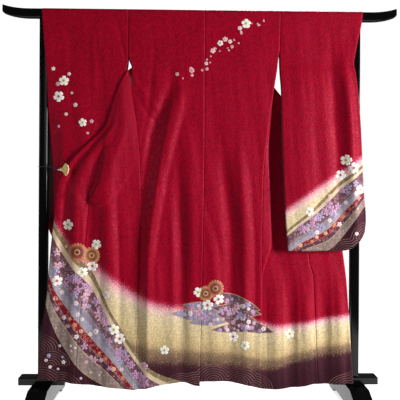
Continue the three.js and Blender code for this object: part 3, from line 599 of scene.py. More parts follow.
def cloth(name, points, outward, design, materials, uv, dip=0, seams=0, wrap=False):
    """A piece of lined silk on a grid of points. The fine relief and the dip at the seams push it along its
    outward normal, which turns to -Y at a seam, so that neighbours still meet there, and a wall closes
    it."""
    n, m = points.shape[:2]
    out = outward * normals(points, wrap)
    out = mix(out, np.array([0, -1.0, 0]), (seams + np.zeros((n, m)))[..., None])
    push = relief(points[..., 0], points[..., 2]) * soft(HANG_TOP + 5, HANG_TOP - 90, points[..., 2]) + dip
    points = points + out * push[..., None]
    faces = grid_faces(n, m, flip=outward < 0, wrap=wrap)
    obj = finish_mesh(name, points, faces, materials)
    mesh = obj.data
    for key, values in design(points).items():
        add_values(mesh, key, values)
    layer = mesh.uv_layers.new(name="cloth")
    corners = np.empty(len(mesh.loops), np.int32)
    mesh.loops.foreach_get("vertex_index", corners)
    layer.data.foreach_set("uv", (uv.reshape(-1, 2)[corners] * MM).ravel())
    wall = obj.modifiers.new("wall", "SOLIDIFY")
    wall.thickness = SHOWN_CLOTH * MM
    wall.offset = 0
    wall.material_offset = 1
    wall.use_quality_normals = True
    return obj


# ---------------------------------------------------------------- materials
def srgb(code):
    """Linear colour of a hex code."""
    parts = np.array([int(code[i:i + 2], 16) / 255 for i in (1, 3, 5)])
    return np.where(parts <= 0.04045, parts / 12.92, ((parts + 0.055) / 1.055) ** 2.4)


def rgba(code):
    return (*srgb(code), 1.0)


def add(tree, kind, inputs=(), out=0, stops=(), **settings):
    """One node with its settings and inputs, in order or by number or name: each a socket to link, a value
    or a colour's hex code."""
    made = tree.nodes.new("ShaderNode" + kind)
    for key, value in settings.items():
        setattr(made, key, value)
    for key, value in inputs.items() if isinstance(inputs, dict) else enumerate(inputs):
        if isinstance(value, bpy.types.NodeSocket):
            tree.links.new(value, made.inputs[key])
        else:
            made.inputs[key].default_value = rgba(value) if isinstance(value, str) else value
    for i, (place, color) in enumerate(stops):
        elements = made.color_ramp.elements
        element = elements[i] if i < 2 else elements.new(place)
        element.position, element.color = place, rgba(color)
    return made.outputs[out] if made.outputs else made


def shaded(owner, output, shader, *values):
    """Gives a material or world the surface that `shader` makes, a function of the node maker and the
    values."""
    owner.use_nodes = True
    owner.node_tree.nodes.clear()
    node = partial(add, owner.node_tree)
    node(output, {0: shader(node, *values)})
    return owner


def material(name, shader, *values):
    return shaded(bpy.data.materials.new(name), "OutputMaterial", shader, *values)


COLORS = dict(out=2, data_type="RGBA")
TINT = dict(COLORS, blend_type="MULTIPLY")
# The damask figure's lighter, pinker red is painted sheen, laid over the figure's real gloss.
RED, RED_FIGURE_AND_PAINTED_SHEEN, RED_DEEP = "#980021", "#B4062B", "#78000E"
DARK_HEM, GOLD_LINE = "#2E171E", "#D9C08A"


def damask_silk(node):
    """Rinzu damask silk, hand dyed: a soft gloss, with a figure of glossy and dull weave a centimetre across.
    The figure is also painted a lighter, pinker red, a painted sheen over its real gloss."""
    where = node("UVMap", uv_map="cloth")
    # Damask figure: warped cells of about 8 mm, and yarn grain of 1.5 mm, coarser than real yarn so that it
    # shows.
    warp = node("TexNoise", {"Vector": where, "Scale": 70.0, "Detail": 2.0}, out=1)
    bent = node("Mix", {0: 0.006, 4: where, 5: warp}, out=1, data_type="VECTOR")
    figure = node("TexNoise", {"Vector": bent, "Scale": 125.0, "Detail": 3.0, "Roughness": 0.68})
    figure = node("MapRange", (figure, 0.42, 0.60), interpolation_type="SMOOTHSTEP")
    yarn = node("TexNoise", {"Vector": where, "Scale": 650.0, "Detail": 1.0})
    broad = node("TexNoise", {"Vector": where, "Scale": 7.0, "Detail": 2.0})
    # The figure's tone paints the red lighter and pinker, a painted sheen, and also lowers the roughness
    # further down, which is its real gloss.
    tone = node("Math", (figure, 0.62), operation="MULTIPLY")
    tone = node("Math", (yarn, 0.38, tone), operation="MULTIPLY_ADD")
    red = node("Mix", {0: tone, 6: RED_DEEP, 7: RED_FIGURE_AND_PAINTED_SHEEN}, **COLORS)
    red = node("Mix", {0: 0.3, 6: red, 7: RED}, **COLORS)

    # Brushed shading from red through pink and gold beige to the dark hem, its edge broken by the grain.
    shade = node("Attribute", out=2, attribute_name="shade")
    grain = node("TexNoise", {"Vector": where, "Scale": 260.0, "Detail": 2.0})
    grain = node("MapRange", (grain, 0.3, 0.7, -0.045, 0.045))
    level = node("Math", (shade, grain), operation="ADD")
    ground = node("ValToRGB", {0: level}, stops=(
        (0.0, "#96041F"), (0.045, "#C63A5E"), (0.09, "#EDA6B0"), (0.14, "#F3D0C2"), (0.21, "#E6D2A8"),
        (0.44, "#DAC290"), (0.55, "#C8AC7E"), (0.59, "#92795C"), (0.70, "#705648"), (0.75, "#3A2026"),
        (1.0, "#2A141A"),
    ))
    # The figure's painted sheen lightens the dyed ground as well.
    fleck_and_painted_sheen = node("MapRange", (tone, 0.2, 0.8, 0.84, 1.1))
    ground = node("Mix", {0: 1.0, 6: ground, 7: fleck_and_painted_sheen}, **TINT)
    below = node("MapRange", (level, 0.0, 0.05))
    color = node("Mix", {0: below, 6: red, 7: ground}, **COLORS)

    # Gold dust over the beige ground: cells of 5 mm, a dot in about a third of them.
    dust = node("TexVoronoi", {"Vector": where, "Scale": 210.0})
    dust = node("MapRange", (dust, 0.24, 0.18))
    amount = node("TexNoise", {"Vector": where, "Scale": 60.0})
    amount = node("MapRange", (amount, 0.46, 0.56))
    for part in (amount, node("MapRange", (level, 0.42, 0.6)), node("MapRange", (level, 0.78, 0.7))):
        dust = node("Math", (dust, part), operation="MULTIPLY")
    color = node("Mix", {0: dust, 6: color, 7: "#EBD8A0"}, **COLORS)

    # Ribbons of the stream, with a gold line between them.
    stream = node("Attribute", out=2, attribute_name="stream")
    ribbons = node("ValToRGB", {0: stream}, stops=(
        (0.0, "#857450"), (0.075, GOLD_LINE), (0.08, "#DCC4A4"), (0.15, GOLD_LINE), (0.155, "#6E4A55"),
        (0.34, "#7E5C68"), (0.42, GOLD_LINE), (0.425, "#8D8798"), (0.5, "#A29BAA"), (0.60, GOLD_LINE),
        (0.605, "#8A1C28"), (0.70, GOLD_LINE), (0.705, "#5A3444"), (0.80, GOLD_LINE), (0.805, "#8E7C74"),
        (0.985, GOLD_LINE), (0.99, DARK_HEM),
    ))
    ribbons.node.color_ramp.interpolation = "CONSTANT"
    # A lattice of small flower heads in the ribbons: cells of 15 mm.
    cells = node("TexVoronoi", {"Vector": where, "Scale": 66.0, "Randomness": 0.55})
    petals = node("MapRange", (cells, 0.26, 0.34))
    rim = node("MapRange", (cells, 0.42, 0.36))
    lattice = node("Math", (petals, rim), operation="MULTIPLY")
    seeds = node("MapRange", (cells, 0.13, 0.08))
    lattice = node("Math", (lattice, seeds), operation="MAXIMUM")
    lattice = node("Math", (lattice, 0.45), operation="MULTIPLY")
    on_ribbon = node("Math", (lattice, node("MapRange", (stream, 0.985, 0.98))), operation="MULTIPLY")
    ribbons = node("Mix", {0: on_ribbon, 6: ribbons, 7: "#E0CDC6"}, **COLORS)
    in_stream = node("MapRange", (stream, 0.0, 0.004))
    color = node("Mix", {0: in_stream, 6: color, 7: ribbons}, **COLORS)

    # Two colours of mist, each with a thin gold edge and the same lattice.
    for key, fill in (("pale", "#8E879A"), ("deep", "#6E4C56")):
        edge = node("Attribute", out=2, attribute_name=key)
        inside = node("MapRange", (edge, 1.5, 0.5))
        core = node("MapRange", (edge, -1.0, -2.0))
        filled = node("Mix", {0: lattice, 6: fill, 7: "#D8C8CC"}, **COLORS)
        lined = node("Mix", {0: core, 6: "#C4A88C", 7: filled}, **COLORS)
        color = node("Mix", {0: inside, 6: color, 7: lined}, **COLORS)

    # Wave lines in the dark hem: rings 11.5 mm apart, drawn 1.6 mm wide so that they show.
    waves = node("Attribute", out=2, attribute_name="waves")
    ring = waves
    for operation, value in (("DIVIDE", 11.5), ("FRACT", 0), ("SUBTRACT", 0.5), ("ABSOLUTE", 0)):
        ring = node("Math", (ring, value), operation=operation)
    broken = node("TexNoise", {"Vector": where, "Scale": 9.0})
    broken = node("MapRange", (broken, 0.4, 0.55, 0.25, 0.75))
    mound = node("MapRange", (waves, WAVE_REACH, WAVE_REACH - 4.0))
    dry = node("MapRange", (stream, 0.004, 0.0))
    dark_ground = node("Math", (node("MapRange", (level, 0.6, 0.74)), dry), operation="MULTIPLY")
    dark_ground = node("Math", (dark_ground, node("MapRange", (stream, 0.99, 1.0))), operation="MAXIMUM")
    line = node("MapRange", (ring, 0.09, 0.04))
    for part in (broken, mound, dark_ground):
        line = node("Math", (line, part), operation="MULTIPLY")
    color = node("Mix", {0: line, 6: color, 7: "#B08C84"}, **COLORS)

    color = node("Mix", {0: 1.0, 6: color, 7: node("MapRange", (broad, 0.3, 0.7, 0.94, 1.05))}, **TINT)
    dull = node("MapRange", {0: tone, 3: 0.6, 4: 0.36})
    height = node("Math", (yarn, 0.5, figure), operation="MULTIPLY_ADD")
    bumped = node("Bump", {"Strength": 0.5, "Distance": 0.0008, "Height": height})
    return node("BsdfPrincipled", {
        "Base Color": color, "Roughness": dull, "Normal": bumped, "IOR": 1.45, "Specular IOR Level": 0.36,
        "Specular Tint": "#F07CA0",
    })


def lining_silk(node, upper, lower):
    """Plain woven lining silk: smooth, with a faint ribbed weave 1.2 mm apart, coarser than the real one.
    The hem is lined in another colour, up to a seam at 620 mm."""
    where = node("UVMap", uv_map="cloth")
    weave = node("TexWave", {"Vector": where, "Scale": 260.0, "Distortion": 0.6, "Detail": 1.0}, out=1)
    patch = node("TexNoise", {"Vector": where, "Scale": 9.0, "Detail": 3.0})
    patch = node("MapRange", {0: patch, 3: 0.9, 4: 1.06})
    height = node("SeparateXYZ", {0: node("TexCoord", out=3)}, out=2)
    above = node("MapRange", (height, 0.619, 0.621))
    color = node("Mix", {0: above, 6: lower, 7: upper}, **COLORS)
    color = node("Mix", {0: 1.0, 6: color, 7: patch}, **TINT)
    bumped = node("Bump", {"Strength": 0.2, "Distance": 0.0003, "Height": weave})
    return node("BsdfPrincipled", {
        "Base Color": color, "Roughness": 0.5, "Normal": bumped, "Sheen Weight": 0.15,
    })


def embroidered_silk(node):
    """Satin stitch and painted silk: the thread's colour comes with each petal, with a fine grain of thread
    in its tone and bump."""
    dye = node("Attribute", attribute_name="dye")
    where = node("TexCoord", out=3)
    thread = node("TexNoise", {"Vector": where, "Scale": 900.0, "Detail": 1.0})
    tone = node("MapRange", (thread, 0.3, 0.7, 0.9, 1.05))
    color = node("Mix", {0: 1.0, 6: dye, 7: tone}, **TINT)
    bumped = node("Bump", {"Strength": 0.3, "Distance": 0.0003, "Height": thread})
    return node("BsdfPrincipled", {
        "Base Color": color, "Roughness": 0.48, "Normal": bumped, "Sheen Weight": 0.1,
    })


def black_lacquer(node):
    """Polished black lacquer over wood: deep gloss, faint waves from rubbing down, a few dull specks of
    dust."""
    where = node("TexCoord", out=3)
    wave = node("TexNoise", {"Vector": where, "Scale": 14.0, "Detail": 2.0})
    speck = node("TexVoronoi", {"Vector": where, "Scale": 90.0})
    speck = node("MapRange", (speck, 0.1, 0.05, 0.0, 0.16))
    smear = node("TexNoise", {"Vector": where, "Scale": 5.0, "Detail": 4.0})
    smear = node("MapRange", (smear, 0.35, 0.7, 0.07, 0.17))
    rough = node("Math", (smear, speck), operation="ADD")
    color = node("Mix", {0: speck, 6: "#070607", 7: "#2A2726"}, **COLORS)
    bumped = node("Bump", {"Strength": 0.25, "Distance": 0.0012, "Height": wave})
    return node("BsdfPrincipled", {
        "Base Color": color, "Roughness": rough, "Normal": bumped, "IOR": 1.52, "Specular IOR Level": 0.22,
        "Coat Weight": 0.06, "Coat Roughness": 0.04,
    })


def plated_metal(node, code, roughness):
    """Plated brass: bright, with fine rub marks and slightly dull patches."""
    where = node("TexCoord", out=3)
    rub = node("TexNoise", {"Vector": where, "Scale": 320.0, "Detail": 3.0})
    rough = node("MapRange", (rub, 0.3, 0.7, roughness - 0.06, roughness + 0.1))
    tone = node("MapRange", {0: rub, 3: 0.85, 4: 1.05})
    color = node("Mix", {0: 1.0, 6: code, 7: tone}, **TINT)
    return node("BsdfPrincipled", {"Base Color": color, "Roughness": rough, "Metallic": 1.0})


def twisted_cord(node):
    """Twisted silk cord: two navy and plum plies whose hairs catch a little light."""
    dye = node("Attribute", attribute_name="dye")
    where = node("TexCoord", out=3)
    hair = node("TexNoise", {"Vector": where, "Scale": 1800.0, "Detail": 2.0})
    bumped = node("Bump", {"Strength": 0.4, "Distance": 0.0002, "Height": hair})
    return node("BsdfPrincipled", {
        "Base Color": dye, "Roughness": 0.72, "Normal": bumped, "Sheen Weight": 0.1,
    })


SILK = material("rinzu damask silk, shaded dye", damask_silk)
# One red for the lining of the sleeves and collar, darkened nearly to black as painted shade where the
# sleeves' far layers show.
LINING_DARKENED_AS_SHADE = material("lining silk, darkened as painted shade", lining_silk, "#500A14", "#500A14")
BODY_LINING = material("ivory and red lining silk", lining_silk, "#D2C6B4", "#7A1222")
STITCH = material("satin stitch silk", embroidered_silk)
LACQUER = material("polished black lacquer", black_lacquer)
GILT = material("gilt brass", plated_metal, "#F0D794", 0.34)
SILVER = material("nickel plated brass", plated_metal, "#C9CCD4", 0.18)
CORD_SILK = material("twisted silk cord", twisted_cord)
OUTSIDE_IN = [SILK, LINING_DARKENED_AS_SHADE]
BODY_CLOTH = [SILK, BODY_LINING]

# ---------------------------------------------------------------- the garment's pieces
COLUMN = 5.0  # spacing of the grid across a panel
BACK_WIDTH, SLEEVE_WIDTH = 300, 370
SEAM_DIP, SEAM_REACH = 0.5, 4.0


def shares(width):
    return np.linspace(0, 1, int(width / COLUMN) + 1)


def seam_dip(share, width):
    """The cloth is drawn in on both sides of a seam."""
    return -SEAM_DIP * (bump(share * width, SEAM_REACH) + bump((1 - share) * width, SEAM_REACH))


def hang(name, points, outward, design, materials, share, width, s, held="hung", wrap=False):
    uv = np.stack(np.broadcast_arrays(share * width, s), axis=-1)
    dip = seam_dip(share, width) + 0 * s
    seams = 0 if wrap or held == "draped" else soft(14, 4, np.minimum(share, 1 - share) * width) + 0 * s
    made = cloth(name + "_silk", points, outward, design, materials, uv, dip, seams, wrap)
    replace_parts(made, name)


# Back panels: both halves meet down the centre.
for side, edges in (("left", ("left", "centre")), ("right", ("centre", "right"))):
    u = shares(320)
    low = [BACK_EDGES[edge][0] for edge in edges]
    s = rows_down(length_to(along(BACK_HEM[side], "z", mix(low[0], low[1], u))))
    hang(side + "_back", back_point(u[:, None], s, edges), -1, body_design, BODY_CLOTH, u[:, None],
         BACK_WIDTH, s)

# Front sheets: each is divided into front, okumi and collar. Their surface, which way it faces, and the
# height of the hem by distance from the side seam.
SHEETS = {
    "left": (left_point, 1, lambda arc: 89 + 0 * arc),
    "right": (right_point, -1, partial(along, RIGHT_HEM, "z")),
}
for side, (point, outward, hem) in SHEETS.items():
    f = shares(FRONT_WIDTH if side == "left" else 300)
    s = rows_down(length_to(hem(f * FRONT_WIDTH)), fine_from=COLLAR_END)
    z = height_at(s)
    to = np.where(z > OKUMI_TOP, collar_share(z), front_share(z))
    hang(side + "_front", point(f[:, None] * to, s), outward, body_design, BODY_CLOTH, f[:, None],
         FRONT_WIDTH, s)

    f = shares(OKUMI["hem"])
    s = rows_down(length_to(hem(FRONT_WIDTH + f * OKUMI["hem"])), fine_from=COLLAR_END)
    keep = s[0] >= length_to(OKUMI_TOP) - 9
    s = np.maximum(s[:, keep], length_to(OKUMI_TOP))
    z = height_at(s)
    u = mix(front_share(z), collar_share(z), f[:, None])
    hang(side + "_okumi", point(u, s), outward, body_design, BODY_CLOTH, f[:, None], OKUMI["hem"], s)


def collar_half(point, w):
    """The band along one front: rows of points from its seam to its free edge, which lies lower near the
    neck."""
    low = np.arange(BEND_END + 7, length_to(COLLAR_END + 5), COARSE)
    s = np.concatenate([np.linspace(0, BEND_END, 7)[1:], low])[:, None]
    slant = NECK_SLANT * s * np.maximum(0, 1 - s / NECK_TURN)
    down = np.maximum(w * NECK_DROP, s) + slant * w
    inner = collar_share(height_at(down))
    return point(mix(inner, 1, w), down)


w = np.concatenate([np.linspace(0, BEND_END, 7) / NECK_DROP, np.linspace(0.42, 1, 7)])[None, :]
left_half, right_half = collar_half(left_point, w)[::-1], collar_half(right_point, w)
neck = mix(left_half[-1], right_half[0], np.linspace(0, 1, 9)[1:-1, None, None])
band = np.concatenate([left_half, neck, right_half])
run = lengths(band[:, -1])[:, None]
hang("collar", band, 1, plain_design, OUTSIDE_IN, w + 0 * run, COLLAR_WIDTH, run + 0 * w,
     held="draped")

# Sleeves: one length of cloth from the bar down the near side, round the bottom and up the far side.
for side, rows in SLEEVES.items():
    u = shares(360)[:, None]
    inner, near_low = rows["inner"][0], rows["near"][0]
    out = abs(near_low - inner) * (1 - u)
    gap = np.clip(SLEEVE_CORNER - out, 0, None)
    drop = np.where(out < SLEEVE_CORNER, SLEEVE_CORNER - np.sqrt(np.maximum(SLEEVE_CORNER**2 - gap**2, 0)), 0)
    s = rows_down(length_to(SLEEVE_BOTTOM + drop[:, 0]), fine_from=1180, fine=6.0)[:, 1:]

    near, far = sleeve_layer(side, u, s, -1), sleeve_layer(side, u, s, 1)
    top = near[:, :1].copy()
    top[..., 1], top[..., 2] = 0, BAR["top"] + LIFT
    bottom = mix(near[:, -1:], far[:, -1:], 0.5) - [0, 0, CLOTH]
    ring = np.concatenate([top, near, bottom, far[:, ::-1]], axis=1)
    around = lengths(ring[len(u) // 2])[None, :]
    hang(side + "_sleeve", ring, -1 if side == "right" else 1, sleeve_design, OUTSIDE_IN, u, SLEEVE_WIDTH,
         around + 0 * u, wrap=True)

# ---------------------------------------------------------------- blossoms, stitched and painted
NEWTON_STEPS, NUDGE = 14, 0.002


def settle(point, x, z, u, s):
    """Depth of a sheet where it passes behind the points (x, z), by Newton's method on all of them at
    once."""
    for _ in range(NEWTON_STEPS):
        here = point(u, s)
        by_u = (point(u + NUDGE, s) - here) / NUDGE
        by_s = point(u, s + 1) - here
        miss_x, miss_z = x - here[..., 0], z - here[..., 2]
        area = by_u[..., 0] * by_s[..., 2] - by_s[..., 0] * by_u[..., 2]
        area = np.where(np.abs(area) < 1, 1, area)
        u = np.clip(u + (by_s[..., 2] * miss_x - by_s[..., 0] * miss_z) / area, 0, 0.997)
        s = s + (by_u[..., 0] * miss_z - by_u[..., 2] * miss_x) / area
    return point(u, s)[..., 1]


def body_face(x, z):
    """Depth of the body's near face at the points (x, z): the back between its side seams, the fronts
    outside them."""
    left, right = along(BACK_EDGES, "left", z), along(BACK_EDGES, "right", z)
    y = -HANG_Y - back_depth(x, z)
    for here, seam, point, rows, free in (
        (x < left, left, left_point, LEFT_ROWS, "x1"), (x > right, right, right_point, RIGHT_ROWS, "edge"),
    ):
        at_x, at_z, start = x[here], z[here], seam[here]
        guess = (at_x - start) / (along(rows, free, at_z) - start)
        y[here] = settle(point, at_x, at_z, guess, length_to(at_z))
    return y


def sleeve_face(x, z):
    """Depth of the near face of the sleeve that is on that side."""
    y = 0 * x
    for side, here in (("left", x < 0), ("right", x >= 0)):
        rows = SLEEVES[side]
        inner, near = along(rows, "inner", z[here]), along(rows, "near", z[here])
        u = np.clip((x[here] - inner) / (near - inner), 0, 1)
        y[here] = sleeve_layer(side, u, length_to(z[here]), -1)[..., 1]
    return y


# Colours of each kind of blossom: petal, its rim, heart, stamens.
KINDS = {
    "white": ("#F4EEE4", "#FFFDF6", "#B9B04A", "#E9DC9A"),
    "blush": ("#F6ECE6", "#FFFDF8", "#B8455A", "#E9B9A8"),
    "mauve": ("#A8679C", "#D8A8CC", "#5A2C55", "#E8C4DC"),
    "lilac": ("#8C7AA8", "#BDB0D0", "#544272", "#D9D0E2"),
    "pink": ("#D08CA8", "#EAC0CC", "#8C3A5C", "#F2DCE0"),
    "coral": ("#C8583C", "#E89A70", "#7A2418", "#F2C89C"),
    "peach": ("#E0A07C", "#F0CCA8", "#9C4A30", "#F6E2C4"),
    "pale": ("#E6CACC", "#F8ECE8", "#B06A78", "#F4ECE4"),
    "rose": ("#D86078", "#FFD8DC", "#B02A44", "#FFE4E0"),
    "rosy": ("#F0A8B0", "#FFE6E6", "#C0405A", "#FFF0E8"),
    "bronze": ("#8A4A2C", "#C98A5A", "#5A2A1C", "#D9A86A"),
    "rust": ("#7A2F22", "#C07048", "#3E1614", "#C98A5A"),
}
PETALS, AROUND = 5, 40
SUNK = -0.2  # how far a blossom's underside lies in the silk
# Rings of a blossom from its heart to its edge: radius, height and colour, then down into the silk and
# closed.
RINGS = (
    (0.09, 1.25, 2), (0.17, 1.15, 2), (0.2, 1.0, 3), (0.3, 0.9, 3), (0.34, 0.85, 0), (0.6, 1.0, 0),
    (0.8, 0.85, 1), (0.97, 0.45, 1), (1.0, SUNK, 1), (0.78, SUNK, 1), (0.52, SUNK, 0), (0.26, SUNK, 0),
)
HEART = 0.32  # share of the radius within which a blossom is round


def petal_outline(angle, petals, notch, cleft, pointed):
    """Radius round a flower: petals that meet in clefts, round or pointed, each with a small notch at its
    tip."""
    tip = (angle * petals / (2 * math.pi) + 0.5) % 1 - 0.5
    petal = mix(np.sqrt(np.abs(np.cos(math.pi * tip))), (1 - 2 * np.abs(tip)) ** 0.9, pointed)
    return 1 - cleft + cleft * petal - notch * bump(tip, 0.09)


def blossoms(name, spots, face, petals=PETALS, notch=0.1, cleft=0.48, pointed=0, stand=1.0):
    """One mesh of flowers laid on a face of cloth. Each spot is x, z, diameter, turn and kind."""
    place = np.array([spot[:4] for spot in spots], float)
    count, rings = len(place), len(RINGS)
    around = AROUND if petals == PETALS else petals * 6
    angle = np.arange(around) * 2 * math.pi / around
    outline = petal_outline(angle, petals, notch, cleft, pointed)
    radius, height, shade = (np.array(column, float) for column in zip(*RINGS))
    reach = radius[:, None] * np.where(radius[:, None] < HEART, 1, outline)
    flat = np.stack([reach * np.cos(angle), reach * np.sin(angle)], axis=-1).reshape(-1, 2)
    flat = np.concatenate([[[0, 0]], flat, [[0, 0]]])
    lift = np.concatenate([[1.3], np.repeat(height, around), [SUNK]])
    tone = np.concatenate([[2], np.repeat(shade, around), [0]]).astype(int)
    half, turn = place[:, 2, None] / 2, place[:, 3, None]
    x = place[:, 0, None] + half * (flat[:, 0] * np.cos(turn) - flat[:, 1] * np.sin(turn))
    z = place[:, 1, None] + half * (flat[:, 0] * np.sin(turn) + flat[:, 1] * np.cos(turn))
    base = face(x.ravel(), z.ravel()).reshape(x.shape)
    y = base - relief(x, z) - SHOWN_CLOTH / 2 - lift * stand * np.clip(half / 24, 0.4, 1)
    here, beside = np.arange(around), np.roll(np.arange(around), -1)
    last = 1 + rings * around
    parts = (
        np.stack([1 + beside, 1 + here, 0 * here], axis=1),
        1 + grid_faces(rings, around, wrap=True),
        last + np.stack([here - around, beside - around, 0 * here], axis=1),
    )
    starts = (np.arange(count) * (last + 1))[:, None, None]
    faces = [face for part in parts for face in (part + starts).reshape(-1, part.shape[1]).tolist()]
    palette = np.array([[srgb(code) for code in KINDS[spot[4]]] for spot in spots])
    flowers = finish_mesh(name, np.stack([x, y, z], axis=-1), faces, [STITCH])
    add_colors(flowers.data, "dye", palette[:, tone])


def scatter(seed, low, high, step):
    """Points on a jittered lattice between two corners, each with a size share and a turn."""
    draw = np.random.default_rng(seed)
    x, z = np.meshgrid(np.arange(low[0], high[0], step), np.arange(low[1], high[1], step))
    x, z = (v.ravel() + draw.uniform(-0.42, 0.42, v.size) * step for v in (x, z))
    return x, z, draw.uniform(0, 1, x.size), draw.uniform(0, 2 * math.pi, x.size), draw.uniform(0, 1, x.size)


# Which blossoms grow in each ribbon: from and to across the stream, share of places taken, least and greatest
# diameter, and kinds.
GROWTH = (
    (0.02, 0.07, 0.2, 14, 18, ("peach", "pale")),
    (0.17, 0.41, 0.85, 21, 33, ("mauve", "pink", "mauve", "lilac")),
    (0.44, 0.58, 0.4, 18, 26, ("pale", "lilac")), (0.62, 0.69, 0.8, 15, 24, ("coral", "peach", "coral")),
    (0.72, 0.79, 0.6, 16, 26, ("mauve", "pale", "pink")),
    (0.83, 0.97, 0.3, 10, 17, ("pale", "pink", "peach")), (1.02, 2.2, 0.12, 10, 19, ("pale", "lilac")),
)


def pick(kinds, size):
    """One of the kinds, by the far digits of a size share."""
    return kinds[int(size * 997) % len(kinds)]


def growth(seed, low, high, step, stream_at, keep):
    """Blossoms on the points of a lattice that are to be kept, by how far across the stream each point
    lies."""
    x, z, size, turn, chance = scatter(seed, low, high, step)
    across = stream_at(x, z)
    spots = []
    for start, end, share, small, large, kinds in GROWTH:
        take = (across > start) & (across < end) & (chance < share) & keep(x, z)
        for i in np.flatnonzero(take):
            spots.append((x[i], z[i], mix(small, large, size[i]), turn[i], pick(kinds, size[i])))
    return spots


def stream_of(design):
    return lambda x, z: design(np.stack([x, 0 * x, z], axis=-1))["stream"]


def on_left_front(x, z):
    """Well inside the near face of the left front and back."""
    free = along(LEFT_ROWS, "x1", z) + 22
    hem = np.where(x < LEFT_HEM[1][0], np.interp(x, *zip(*LEFT_HEM)), along(BACK_HEM["left"], "z", x)) + 14
    return (x > free) & (z > hem) & (x < 0)


def on_right_sleeve(x, z):
    """Well inside the near face of the right sleeve, above its rounded corner."""
    rows = SLEEVES["right"]
    low = SLEEVE_BOTTOM + 15 + np.clip(x - 625, 0, None) * 0.75
    return (x > along(rows, "inner", z) + 14) & (x < along(rows, "near", z) - 18) & (z > low)


BIG = (
    (-566, 800, 50, 0.2, "white"), (-445, 716, 46, 0.9, "white"), (-463, 622, 50, 0.1, "blush"),
    (-503, 598, 46, 0.7, "white"), (-612, 560, 48, 0.4, "blush"), (-368, 350, 48, 0.5, "white"),
    (-344, 310, 50, 1.0, "blush"), (-150, 262, 42, 0.3, "white"), (-6, 512, 46, 0.8, "white"),
    (34, 456, 50, 0.2, "blush"), (82, 482, 50, 0.6, "blush"), (146, 318, 46, 0.1, "blush"),
    (196, 283, 42, 0.9, "white"), (392, 330, 44, 0.5, "white"), (-238, 196, 36, 0.2, "pink"),
    (-402, 500, 34, 0.6, "pale"),
)
BIG_SLEEVE = (
    (628, 1084, 50, 0.1, "white"), (660, 1050, 52, 0.6, "blush"), (606, 1020, 46, 1.0, "blush"),
    (690, 958, 44, 0.3, "white"), (470, 862, 42, 0.8, "white"),
    (-590, 1420, 46, 0.3, "white"), (-612, 1352, 50, 0.9, "blush"), (-540, 1316, 20, 0.2, "pale"),
    (-616, 1406, 20, 0.7, "pink"), (-568, 1450, 16, 0.1, "pale"), (-508, 1240, 38, 0.5, "white"),
    (-470, 1246, 18, 0.2, "pink"), (-580, 1276, 16, 0.8, "pale"), (-636, 1472, 18, 0.4, "white"),
    (-556, 1368, 13, 0.5, "pale"), (-486, 1196, 13, 0.1, "pale"), (-612, 1224, 14, 0.6, "pink"),
)


def spray(seed, start, end, count, wide):
    """Small blossoms strewn along a slope, a few of them larger."""
    draw = np.random.default_rng(seed)
    t = (np.arange(count) + draw.uniform(0.2, 0.8, count)) / count
    off = draw.uniform(-1, 1, (2, count)) * wide
    x, z = mix(start[0], end[0], t) + off[0], mix(start[1], end[1], t) + off[1]
    size = mix(8, 27, draw.uniform(0, 1, count) ** 2.6)
    kinds = [("rose", "rose", "pale", "rosy")[k] for k in draw.integers(0, 4, count)]
    return list(zip(x, z, size, draw.uniform(0, 6, count), kinds))


STARS, STAR_SIZE, STAR_GROWN = ("mauve", "pink", "lilac"), 22, 1.35
CLOSE = 0.42  # share of both diameters that two blossoms may come close to


def apart(spots, others):
    """The spots that stay clear of the large blossoms."""
    def clear(b, a):
        return math.hypot(b[0] - a[0], b[1] - a[1]) > (a[2] + b[2]) * CLOSE

    return [spot for spot in spots if all(clear(spot, other) for other in others)]


def starry(spot):
    """The larger blossoms of the purple kinds are bellflowers."""
    return spot[4] in STARS and spot[2] > STAR_SIZE


def stars(spots):
    return [(x, z, size * STAR_GROWN, *rest) for x, z, size, *rest in filter(starry, spots)]


def rounds(spots):
    return [spot for spot in spots if not starry(spot)]


body_spots = growth(5, (-690, 95), (-150, 900), 27.0, stream_of(body_design), on_left_front)
body_spots = apart(body_spots, BIG)
sleeve_spots = growth(9, (360, 700), (720, 1120), 25.0, stream_of(sleeve_design), on_right_sleeve)
sleeve_spots = apart(sleeve_spots, BIG_SLEEVE)
body_spots += [
    (x, z, mix(14, 26, size), turn, pick(("mauve", "pink", "pale", "lilac"), size))
    for x, z, size, turn, chance in zip(*scatter(3, (-125, 330), (325, 510), 21.0))
    if chance < 0.85 and mist(MIST["deep"] + MIST["pale"], x, z) < -5
    and all(math.hypot(x - a[0], z - a[1]) > 30 for a in BIG)
]
shoulder_spots = spray(12, (-80, 1430), (268, 1716), 36, 27)
shoulder_spots += [(196, 1676, 44, 0.3, "white"), (84, 1590, 27, 0.8, "blush")]
chrysanthemum_spots = (
    (-524, 684, 82, 0.1, "rust"), (-466, 668, 76, 0.5, "bronze"), (26, 506, 68, 0.2, "bronze"),
    (68, 528, 76, 0.6, "rust"),
)
LOW = dict(stand=0.6)
BELLFLOWER = dict(LOW, notch=0, cleft=0.66, pointed=0.8)
for name, spots, face, shape in (
    ("hem_blossoms", rounds(body_spots), body_face, LOW),
    ("hem_bellflowers", stars(body_spots), body_face, BELLFLOWER),
    ("hem_white_blossoms", BIG, body_face, {}),
    ("sleeve_blossoms", rounds(sleeve_spots), sleeve_face, LOW),
    ("sleeve_bellflowers", stars(sleeve_spots), sleeve_face, BELLFLOWER),
    ("sleeve_white_blossoms", BIG_SLEEVE, sleeve_face, {}),
    ("shoulder_blossoms", shoulder_spots, body_face, dict(stand=0.7)),
    ("hem_chrysanthemums", chrysanthemum_spots, body_face, dict(petals=18, notch=0.0, cleft=0.2)),
):
    blossoms(name, spots, face, **shape)

